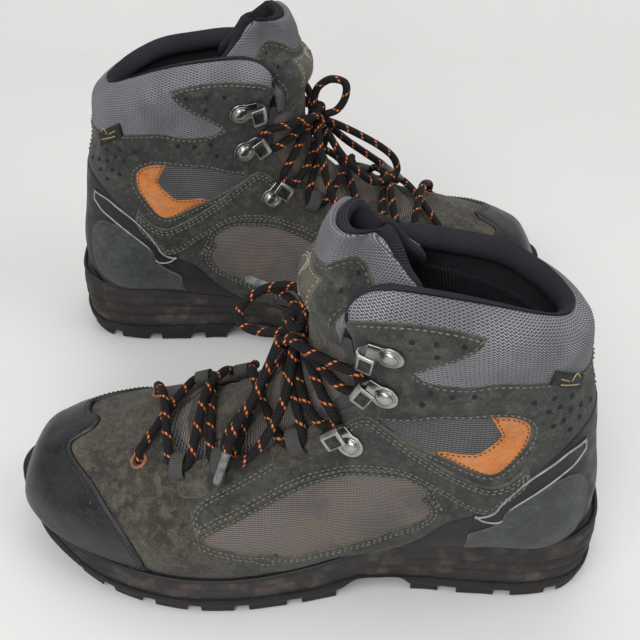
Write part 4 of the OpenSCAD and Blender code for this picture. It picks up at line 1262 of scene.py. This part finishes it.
class BOOTS_OT_toe_cap(bpy.types.Operator):
    """Adds the rubber toe caps"""
    bl_idname = "boots.toe_cap"
    bl_label = "Toe caps"

    def execute(self, context):
        leather("toe_bumper", TOE_CAP, "Cap rubber", "cap_rubber", ("toe_cap",), both=False, thick=2.0,
                base=-0.1, rim=1.5, grid=1.9)
        return {"FINISHED"}


class BOOTS_OT_heel_frame(bpy.types.Operator):
    """Adds the moulded heel frames with their silver-edged strip and ribs"""
    bl_idname = "boots.heel_frame"
    bl_label = "Heel frames"

    def execute(self, context):
        leather("heel_brace", FRAME, "Frame plastic", "frame_plastic", ("heel_frame",), thick=1.5, base=-0.4,
                rim=1.4)
        leather("strip_plate", STRIP, "Frame plastic", "frame_plastic", thick=0.9, base=0.7)
        edge = shifted(seam(STRIP, step=1.2, closed=True), 1.2)
        parts = {}
        for sign, kind in ((1, "outer"), (-1, "inner")):
            q = edge * [1, sign]
            silver = tube(looped(body(q[:, 0], q[:, 1], 1.75)), 0.5, 6, ends=False)
            ribs = []
            for k in np.arange(5):
                a = seam([(10.2 + 0.1 * k, 104 + 2.2 * k), (11.3 + 0.1 * k, 104 + 2.6 * k),
                          (11.9 + 0.12 * k, 112 + 2.6 * k), (12.45 + 0.06 * k, 126 + 2 * k)], 1.5) * [1, sign]
                ribs.append(tube(body(a[:, 0], a[:, 1], 1.0), 0.45, 6))
            parts[kind] = (silver, joined(ribs))
        for side in SIDES:
            for kind, (silver, ribs) in parts.items():
                build(f"strip_line_{kind}", side, *silver[:2], "Silver line", "frame_plastic")
                build(f"brace_ribs_{kind}", side, *ribs[:2], "Frame plastic", "frame_plastic")
        return {"FINISHED"}


COLLAR_ROOT, COLLAR_TOP = 14.4, 17.5  # sections where the padding starts and where it rolls over
COLLAR_COLUMNS = 150
COLLAR_LINE = 17.0  # the section on which lengths round the collar are measured


def collar_point(u, a, off, lift):
    """A point of the collar, lifted towards the top of the boot."""
    p = body(np.array([u]), np.array([a]), np.array([off]))[0]
    up = skin(17.9, a) - skin(17.4, a)
    return p + up / np.linalg.norm(up) * lift


def collar_rows(profile):
    """Points round the ankle; profile(f) gives (section, offset, lift) down a column of fullness f."""
    start = float(throat(COLLAR_TOP)) + 1.0
    even = np.linspace(0, 1, COLLAR_COLUMNS)
    angles = start + (360 - 2 * start) * (0.35 * eased(COLLAR_COLUMNS) + 0.65 * even)
    angles = (angles + 180) % 360 - 180
    w = lengths(skin(COLLAR_LINE, angles))
    d = np.minimum(w, w[-1] - w)
    rows = []
    for a, f, low in zip(angles, rounded(d, 6.5) * 0.94 + 0.06, 1 - rounded(d, 17)):
        rows.append([collar_point(u - low * np.clip((u - COLLAR_ROOT) / 3.3, 0, 1), a, off, lift)
                     for u, off, lift in profile(f)])
    return np.array(rows), w


def collar_roll(f, start, stop, extra, n):
    """The part of a column that rolls over the rim, between two angles of the roll."""
    half = 4.9 * f
    return [(17.75 + 0.10 * f, -half + (half + extra) * math.cos(t), (half + extra) * 0.95 * math.sin(t))
            for t in np.linspace(start, stop, n)]


def collar_shell(profile, start):
    """Points, faces and uv of one layer of the collar, and its rows."""
    rows, w = collar_rows(profile)
    v, f = loft(rows, close_col=True, caps=True)
    s = np.array([lengths(row) for row in rows]) + start
    return v, outward(v, f), np.stack([np.repeat(w, rows.shape[1]), s.ravel()], 1), rows


def knit_profile(f):
    return ([(u, -1.4 * (1 - f), 0) for u in np.linspace(14.15, 17.7, 18)]
            + collar_roll(f, 0.0, math.pi, 0.0, 14)
            + [(u, -9.8 * f, 0) for u in np.linspace(COLLAR_TOP, COLLAR_ROOT, 8)])


def lining_profile(f):
    return (collar_roll(f, 0.62, math.pi, 0.9, 16)
            + [(u, -9.8 * f - 0.9, 0) for u in np.linspace(COLLAR_TOP, 13.2, 16)]
            + [(u, -9.0 * f + 1.0, 0) for u in np.linspace(13.2, COLLAR_TOP, 10)])


class BOOTS_OT_collar(bpy.types.Operator):
    """Adds the padded knit collars and the black lining that rolls over the rim"""
    bl_idname = "boots.collar"
    bl_label = "Collars and linings"

    def execute(self, context):
        *pad, rows = collar_shell(knit_profile, 150)
        *lining, _ = collar_shell(lining_profile, 0)
        pipes = joined([tube(spaced(np.vstack([r[0, 1:18], [q[21] for q in r[1:16]]]), 1.5), 1.15, 8)
                        for r in (rows, rows[::-1])])
        for side in SIDES:
            o = build("collar_pad", side, *pad[:2], "Collar knit", "knit", uv=pad[2], replaces=("collar",))
            build("collar_piping", side, *pipes[:2], "Lining fabric", "lining_fabric", uv=pipes[2])
            build("collar_lining", side, *lining[:2], "Lining fabric", "lining_fabric", uv=lining[2])
        return {"FINISHED"}


# Inner parts of the hard kind, with their material and slot.
HIDDEN = (("shank", "Hook steel", "shank_steel"), ("lasting_board", "Board fibre", "board_fibre"),
          ("toe_puff", "Stiffener", "stiffener"), ("heel_counter", "Stiffener", "stiffener"))


class BOOTS_OT_inside(bpy.types.Operator):
    """Adds the foot lining and the cupped footbed, and finishes the hidden stiffeners"""
    bl_idname = "boots.inside"
    bl_label = "Insides"

    def execute(self, context):
        def half(sign):
            us = np.concatenate([np.linspace(4.95, 11, 28), np.linspace(11.2, 15.8, 20)])
            rows = []
            for u in us:
                a = np.linspace(throat(u), float(foot_angle(u)) - 0.4, 22) * sign
                rows.append([skin(np.array(u), x) - normal(np.array(u), x) * padding(u) for x in a])
            return np.array(rows)

        pieces = []
        for sign in (1, -1):
            v, f = loft(half(sign))
            uv = np.meshgrid(np.linspace(0, 260, 48), np.linspace(0, 90, 22), indexing="ij")
            uv = np.stack(uv, -1).reshape(-1, 2)
            pieces.append((v, f if sign < 0 else [tuple(reversed(q)) for q in f], uv))
        v, f, uv = joined([*pieces, self.toe_inside()])
        bed = self.footbed()
        for side in SIDES:
            o = build("foot_lining", side, v, f, "Lining fabric", "lining_fabric", uv=uv, replaces=("lining",))
            solid = o.modifiers.new("Thickness", "SOLIDIFY")
            solid.thickness, solid.offset = 0.001, 0
            context.view_layer.objects.active = o
            bpy.ops.object.modifier_apply(modifier=solid.name)
            o = build("footbed_pad", side, *bed[:2], "Footbed felt", "footbed_felt", on="insole",
                      uv=bed[2], replaces=("footbed",))
            for node, finish, slot in HIDDEN:
                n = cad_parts[f"{side}_{node}"]
                n.data.materials.clear()
                n.data.materials.append(MATERIALS[finish])
        return {"FINISHED"}

    @staticmethod
    def toe_inside():
        """The lining over the toes."""
        us = np.linspace(0.6, 4.9, 18)
        rows = []
        for u in us:
            a = np.linspace(-1, 1, 40) * (float(foot_angle(u)) - 1)
            rows.append([skin(np.array(u), x) - normal(np.array(u), x) * min(4.4, 1.5 + u) for x in a])
        v, f = loft(np.array(rows))
        uv = arc_uv(np.repeat(us, 40), np.tile(np.linspace(-90, 90, 40), 18))
        return v, [tuple(reversed(q)) for q in f], uv

    @staticmethod
    def footbed():
        """The bed under the foot, cupped at the heel."""
        us = np.concatenate([np.linspace(1.4, 8, 30), np.linspace(8.2, 11.0, 18)])
        n, rows = 22, []
        for u in us:
            a = foot_angle(u)
            p = [skin(u, s * a) - normal(u, s * a) * (padding(u) + 3.2) for s in (1, -1)]
            z = float(skin(u, foot_angle(u))[2]) + 3.75
            b = eased(n)
            y = p[0][1] + (p[1][1] - p[0][1]) * b
            x = p[0][0] + (p[1][0] - p[0][0]) * b
            d = np.minimum(b, 1 - b) * abs(p[0][1] - p[1][1])
            edge = rounded(d, 2.0)
            cup = 3.2 * np.clip((u - 7.5) / 3, 0, 1) * (2 * b - 1) ** 4
            top = z + 0.6 + (4.3 * edge) * (0.75 + 0.25 * np.clip(u / 4, 0, 1)) + cup * edge
            rows.append(np.column_stack([np.r_[x, x[::-1]], np.r_[y, y[::-1]], np.r_[top, np.full(n, z)]]))
        v, f = loft(np.array(rows), close_col=True, caps=True)
        uv = np.column_stack([v[:, 0], v[:, 1]])
        return v, outward(v, f), uv


# How far the underside of the lower tongue lies in, by section.
tongue_back = table([4.9, 6, 9, 13], [-4.1, -5.5, -7, -9])
BADGE_MARKS = ([(17.2, -7), (17.85, 0), (17.2, 7)], [(16.95, -7), (17.5, 0), (16.95, 7)], [(16.3, -15),
                (16.3, 0), (16.3, 15)], [(15.9, -12), (15.9, 0), (15.9, 12)])
FLAP_HOLES = ((18.4, 45), (17.8, 39), (17.6, 47))


class BOOTS_OT_tongue(bpy.types.Operator):
    """Adds the padded tongues, which fold forward at the upper lace row"""
    bl_idname = "boots.tongue"
    bl_label = "Tongues"

    def execute(self, context):
        low_us, high_us = np.linspace(4.97, 13.45, 52), np.linspace(13.62, 20.15, 60)
        lower = padded_shell(low_us, tongue, table([4.9, 6, 21], [-1.6, -0.5, 0]), tongue_back, 28)
        under = padded_shell(low_us, lambda u: tongue(u) + 2, lambda u: tongue_back(u) + 1.6,
                             lambda u: tongue_back(u) - 0.8, 28, 1.2)
        flap = padded_shell(high_us, flap_width, lambda u: 0.4 + 1.2 * math.exp(-((u - 19.5) / 0.9) ** 2),
                            lambda u: -3.4, 60, 3.0, tuck)
        back = padded_shell(np.linspace(13.66, 20.4, 60), lambda u: flap_width(u - 0.2) + 4,
                            lambda u: -2.2, lambda u: -7.6, 60, 3.4, tuck)
        gusset = padded_shell(np.linspace(4.75, 14.2, 60), lambda u: tongue(u) + 13, lambda u: -2.2,
                              lambda u: -3.4, 30, 1.0)
        gussets = [panel(p, thick=1.3, base=-0.2, grid=2.0, crown=0.8) for p in TONGUE_PADS]
        cover = panel(FLAP_SUEDE, thick=1.4, base=0.5, grid=2.0, bend=tuck)
        badge = panel(BADGE, thick=1.0, base=1.8, grid=1.6, rim=0.8)
        for side in SIDES:
            o = build("tongue_pad", side, *lower[:2], "Window mesh", "tongue_suede", uv=lower[2],
                      replaces=("tongue",))
            build("tongue_backing", side, *under[:2], "Lining fabric", "lining_fabric", uv=under[2])
            build("tongue_gusset", side, *gusset[:2], "Ankle mesh", "tongue_suede", uv=gusset[2])
            for i, (v, f, uv, values) in enumerate(gussets):
                build(f"tongue_patch_{i + 1}", side, v, f, "Vamp suede", "tongue_suede", uv=uv,
                      values=values)
            flap_pieces = []
            o = build("tongue_knit", side, *flap[:2], "Collar knit", "knit", on=None, uv=flap[2],
                      replaces=("tongue_flap",))
            flap_pieces.append(o)
            o = build("tongue_lining", side, *back[:2], "Lining fabric", "lining_fabric", on=None,
                      uv=back[2])
            flap_pieces.append(o)
            v, f, uv, values = cover
            values = {**values, "along": np.full(len(v), 12.0)}
            flap_pieces.append(build("tongue_cover", side, v, f, "Quarter suede", "tongue_suede", on=None,
                                     uv=uv, values=values))
            v, f, uv, values = badge
            build("badge_plate", side, v, f, "Badge leather", "badge_leather", on="flap", uv=uv,
                  values=values, replaces=("tongue_badge",))
            v, f, _ = raised_lines(BADGE_MARKS, 2.75, 0.42, 1.2)
            build("badge_mark", side, v, f, "Pale stitching", "badge_leather", on="flap")
            v, f, _ = stitches([inset(BADGE, 1.6)], 2.8, 2.6, 1.7, 0.34)
            build("badge_stitches", side, v, f, "Pale stitching", "badge_leather", on="flap")
            line = inset(FLAP_SUEDE, 2.2)
            halves = [line[(line[:, 0] > 14.6) & (line[:, 1] * sign > 0)] for sign in (1, -1)]
            v, f, _ = stitches(halves, 1.95, 3.0, 2.0, 0.34, tuck)
            flap_pieces.append(build("tongue_stitches", side, v, f, "Stitching", "tongue_suede", on=None))
            # Near-black discs painted as the shade of the tongue's punched holes.
            v, f = hole_shade_discs([(u, k * a) for u, a in FLAP_HOLES for k in (1, -1)], 2.1, tuck)
            flap_pieces.append(build("tongue_hole_shades", side, v, f, "Punched hole shade", "tongue_suede", on=None))
            for o in flap_pieces:
                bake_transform(o)
        return {"FINISHED"}


def hole_shade_discs(where, off, bend=None):
    """Small sunken-looking discs at [section, angle] places, coloured near-black as painted shade that stands for
    punched holes.
    """
    parts, n, radius = [], 12, 1.15
    turns = [(i, (i + 1) % n) for i in range(n)]
    for u, a in where:
        p, axes = on_skin(u, a, off + (float(bend(u, a)) if bend else 0))
        ring = [p + radius * (math.cos(t) * axes[0] + math.sin(t) * axes[1])
                for t in np.linspace(0, 2 * math.pi, n + 1)[:-1]]
        low = [p + 0.8 * (q - p) - axes[2] * 0.1 for q in ring]
        v = np.array(ring + low + [p - axes[2] * 0.1] + [q - axes[2] * 0.5 for q in ring])
        centre, back = 2 * n, 2 * n + 1
        f = [(i, k, n + k, n + i) for i, k in turns] + [(n + i, n + k, centre) for i, k in turns]
        f += [(i, back + i, back + k, k) for i, k in turns] + [tuple(back + i for i in range(n))[::-1]]
        parts.append((v, outward(v, f)))
    v, f, _ = joined(parts)
    return v, f


# Hooks as [section, angle, height over the upper], and the pieces they stand for.
HOOKS = {"cuff": ([(15.3, 69, 1.9), (12.9, 63, 1.1)], ("cuff_hooks", "hook_rivets")),
         "instep": ([(9.8, 58.5, 2.0)], ("instep_hooks",))}
EYELET = (4.5, 24.5)
WEBBING = ((5.5, 30), (6.4, 32), (8.3, 42))
# The plate's square end, the hook's profile and its half widths, in millimetres.
PLATE_END = [(9.8, -4.6), (10.6, -3.8), (10.6, 3.8), (9.8, 4.6)]
HOOK = [(9.6, 0.3), (11.0, 0.4), (13.4, 4.6), (13.2, 7.0), (11.8, 8.4), (5.2, 9.0), (4.6, 8.4), (5.0, 7.7),
        (11.0, 7.2), (12.0, 6.2), (11.9, 5.0), (9.4, 1.4)]
HOOK_HALF = [4.7, 4.7, 4.9, 5.1, 5.2, 5.2, 5.2, 5.2, 5.2, 5.1, 4.9, 4.7]


class BOOTS_OT_hardware(bpy.types.Operator):
    """Adds the lace hooks, rivets, eyelets and webbing loops"""
    bl_idname = "boots.hardware"
    bl_label = "Hooks and eyelets"

    def execute(self, context):
        plate, hook, opening_shade, rivet, washer = self.prototypes()
        ring = self.eyelet()
        for side in SIDES:
            for name, (places, stands) in HOOKS.items():
                steel, dark = [], []
                for u, a, off in places:
                    for sign in (1, -1):
                        p, axes = on_skin(u, sign * a, off)
                        for shape, out in ((plate, steel), (hook, steel), (rivet, steel), (washer, steel),
                                           (opening_shade, dark)):
                            v = p + shape[0] @ axes
                            out.append((v, outward(v, shape[1])))
                v, f, _ = joined(steel)
                o = build(f"{name}_hook_steel", side, v, f, "Hook steel", "hook_steel", replaces=stands)
                deselect()
                o.select_set(True)
                context.view_layer.objects.active = o
                bpy.ops.object.shade_smooth_by_angle(angle=math.radians(38))
                # The near-black blocks are painted shade in the hooks' openings.
                v, f, _ = joined(dark)
                build(f"{name}_hook_recess", side, v, f, "Hook opening shade", "hook_steel")
            rings = []
            for sign in (1, -1):
                p, axes = on_skin(EYELET[0], sign * EYELET[1], 0.35)
                v = p + ring[0] @ axes
                rings.append((v, outward(v, ring[1])))
            v, f, _ = joined(rings)
            build("eyelet_rims", side, v, f, "Eyelet rim", "eyelet_rim", replaces=("toe_eyelets",))
            loops = [self.webbing(u, sign * a) for u, a in WEBBING for sign in (1, -1)]
            v, f, uv = joined(loops)
            build("webbing_loops", side, v, f, "Webbing", "webbing", uv=uv, replaces=("lace_loops",))
        return {"FINISHED"}

    @staticmethod
    def webbing(u, a):
        """A flat band that comes out from under its tab, round the lace and back."""
        p, axes = on_skin(u, a, 0.6)
        t = np.linspace(0, 2 * math.pi, 29)[:-1]
        x = 1.5 + 6.0 * np.cos(t) * np.where(np.cos(t) < 0, 1.25, 0.9)
        z = 3.3 + 3.6 * np.sin(t)
        rows = []
        for y, k in ((-3.7, 0.94), (-3.6, 1.0), (-1.5, 1.02), (1.5, 1.02), (3.6, 1.0), (3.7, 0.94)):
            rows.append(np.column_stack([x * k, np.full_like(x, y), z]))
        for y, k in ((3.6, 0.82), (1.5, 0.82), (-1.5, 0.82), (-3.6, 0.82)):
            rows.append(np.column_stack([1.5 + (x - 1.5) * k, np.full_like(x, y), 3.3 + (z - 3.3) * k]))
        v, f = loft(np.array(rows), close_row=True, close_col=True)
        v = p + v @ axes
        m = len(t)
        uv = np.column_stack([np.repeat(np.linspace(0, 18, len(rows)), m),
                              np.tile(np.linspace(0, 30, m), len(rows))])
        return v, outward(v, f), uv

    @staticmethod
    def eyelet():
        deselect()
        bpy.ops.mesh.primitive_torus_add(major_radius=3.8 * MM, minor_radius=0.9 * MM, major_segments=36,
                                         minor_segments=10, location=(0, 0, 0.3 * MM))
        return take_mesh(bpy.context.object)

    @staticmethod
    def prototypes():
        """Base plate, open hook with a near-black block painted as the shade in its opening, domed rivet and
        washer, in millimetres.
        """
        def made(width):
            o = bpy.context.object
            m = o.modifiers.new("Bevel", "BEVEL")
            m.width, m.segments, m.limit_method, m.angle_limit = width, 3, "ANGLE", math.radians(35)
            return take_mesh(o)

        def prism(name, low, high, width, turned=False):
            """A solid with two matching ends, its edges rounded."""
            n = len(low)
            f = [tuple(range(n))[::-1], tuple(range(n, 2 * n))]
            f += [(i, (i + 1) % n, n + (i + 1) % n, n + i) for i in range(n)]
            mesh = bpy.data.meshes.new(name)
            mesh.from_pydata([tuple(c * MM for c in p) for p in low + high], [],
                             [q[::-1] for q in f] if turned else f)
            o = bpy.data.objects.new(name, mesh)
            bpy.context.scene.collection.objects.link(o)
            bpy.context.view_layer.objects.active = o
            return made(width * MM)

        deselect()
        t = np.linspace(math.radians(52), math.radians(308), 30)
        outline = [(6.2 * math.cos(k), 6.2 * math.sin(k)) for k in t] + PLATE_END
        plate = prism("plate", [(x, y, 0) for x, y in outline], [(x, y, 1.3) for x, y in outline], 0.35)
        left, right = ([(x, s * h, z) for (x, z), h in zip(HOOK, HOOK_HALF)] for s in (-1, 1))
        hook = prism("hook", left, right, 0.4, turned=True)
        # A thin near-black block inside the hook, painted as the shade in the hook's opening.
        bpy.ops.mesh.primitive_cube_add(size=1, location=(8.2 * MM, 0, 8.75 * MM),
                                        rotation=(0, math.radians(5), 0),
                                        scale=(5.4 * MM, 6.6 * MM, 0.7 * MM))
        opening_shade = made(0.2 * MM)
        bpy.ops.mesh.primitive_uv_sphere_add(segments=36, ring_count=18, radius=1,
                                             location=(0, 0, 1.5 * MM),
                                             scale=(4.0 * MM, 4.0 * MM, 1.9 * MM))
        rivet = made(0.01 * MM)
        bpy.ops.mesh.primitive_torus_add(major_radius=4.35 * MM, minor_radius=0.55 * MM,
                                         major_segments=40, minor_segments=8,
                                         location=(0, 0, 1.35 * MM))
        washer = take_mesh(bpy.context.object)
        return plate, hook, opening_shade, rivet, washer


class BOOTS_OT_laces(bpy.types.Operator):
    """Adds the laced part of the laces and the knots"""
    bl_idname = "boots.laces"
    bl_label = "Laces"

    def execute(self, context):
        r = lace_radius()
        t = np.linspace(0, 2 * math.pi, 90)
        knot = np.column_stack([KNOT[0] + 1.5 + 3.0 * (np.sin(3 * t)),
                                KNOT[1] + 2.5 * (np.sin(t) + 2 * np.sin(2 * t)),
                                KNOT[2] + 2.5 * (np.cos(t) - 2 * np.cos(2 * t))])
        runs = [tube(spaced(lace_path(sign), 1.2), r, 12) for sign in (1, -1)]
        v, f, uv = joined([*runs, tube(knot, r * 0.92, 12, ends=False)])
        for side in SIDES:
            build("lace_run", side, v, f, "Lace", "lace", uv=uv, replaces=("lacing",))
        return {"FINISHED"}


class BOOTS_OT_trim(bpy.types.Operator):
    """Adds the stitching, near-black discs painted as the shade of punched holes, and the label tags, and hides
    the hook overlays
    """
    bl_idname = "boots.trim"
    bl_label = "Stitching and trim"

    def execute(self, context):
        edge = inset(QUARTER, 2.0)
        suede_lines = [*(inset(WINDOW, d) for d in (-2.0, -4.2)), inset(ANKLE, -2.2),
                       edge[(edge[:, 0] > 14.2) & (edge[:, 1] > 52)]]
        strap_lines = [*(inset(STRAP, d)[:-1] for d in (1.8, 3.6)), *(inset(tab, 1.6) for tab in TABS)]
        cap_lines = [q[(q[:, 0] > 2.2) & (np.abs(q[:, 1]) < 100)]
                     for q in (inset(TOE_CAP, d) for d in (1.7, 3.6))]
        pitch = settings().stitch_pitch / MM
        for side in SIDES:
            v, f, _ = joined([stitches([q * [1, sign] for q in lines], off, pitch, 2.0, 0.36)
                              for sign in (1, -1) for lines, off in ((suede_lines, 0.75), (strap_lines, 1.95))])
            build("panel_stitches", side, v, f, "Stitching", "quarter_suede", replaces=("hook_overlays",))
            v, f, _ = stitches(cap_lines, 1.95, 2.4, 1.6, 0.3)
            build("cap_stitches", side, v, f, "Dark stitching", "cap_rubber")
            v, f, _ = stitches([inset(ORANGE, 1.7) * [1, sign] for sign in (1, -1)], 0.1, 2.4, 1.6, 0.26)
            build("insert_stitches", side, v, f, "Dark stitching", "orange_suede")
            # Near-black discs painted as the shade of the side panels' punched holes.
            v, f = hole_shade_discs([(u, s * a) for u, a in HOLES for s in (1, -1)], 1.0)
            build("panel_hole_shades", side, v, f, "Punched hole shade", "quarter_suede")
        leather("label", LABEL, "Label", "label_fabric", ("label_tag",), both=False, thick=0.8, base=1.2,
                rim=0.6, grid=1.4)
        for side in SIDES:
            v, f, _ = raised_lines(LABEL_MARKS, 2.05, 0.3, 1.0)
            build("label_mark", side, v, f, "Gold mark", "label_fabric")
        return {"FINISHED"}


class BOOTS_PT_panel(bpy.types.Panel):
    """Lists the sizes, the colours and the steps that build the boots"""
    bl_idname = "BOOTS_PT_panel"
    bl_label = "Mountaineering boots"
    bl_space_type = "VIEW_3D"
    bl_region_type = "UI"
    bl_category = "Boots"

    def draw(self, context):
        column = self.layout.column()
        for key in BootSettings.__annotations__:
            column.prop(context.scene.boots, key)
        for step in STEPS:
            column.operator(step.bl_idname)


STEPS = (BOOTS_OT_stage, BOOTS_OT_free_laces, BOOTS_OT_sole, BOOTS_OT_suede, BOOTS_OT_windows, BOOTS_OT_toe_cap,
         BOOTS_OT_heel_frame, BOOTS_OT_collar, BOOTS_OT_inside, BOOTS_OT_tongue, BOOTS_OT_hardware, BOOTS_OT_laces,
         BOOTS_OT_trim)
CLASSES = (BootSettings, *STEPS, BOOTS_PT_panel)


def register():
    for c in CLASSES:
        bpy.utils.register_class(c)
    bpy.types.Scene.boots = PointerProperty(type=BootSettings)


def unregister():
    del bpy.types.Scene.boots
    for c in reversed(CLASSES):
        bpy.utils.unregister_class(c)


def main():
    register()
    make_groups()
    make_materials()
    for step in STEPS:
        group, name = step.bl_idname.split(".")
        getattr(getattr(bpy.ops, group), name)()


if __name__ == "__main__":
    main()
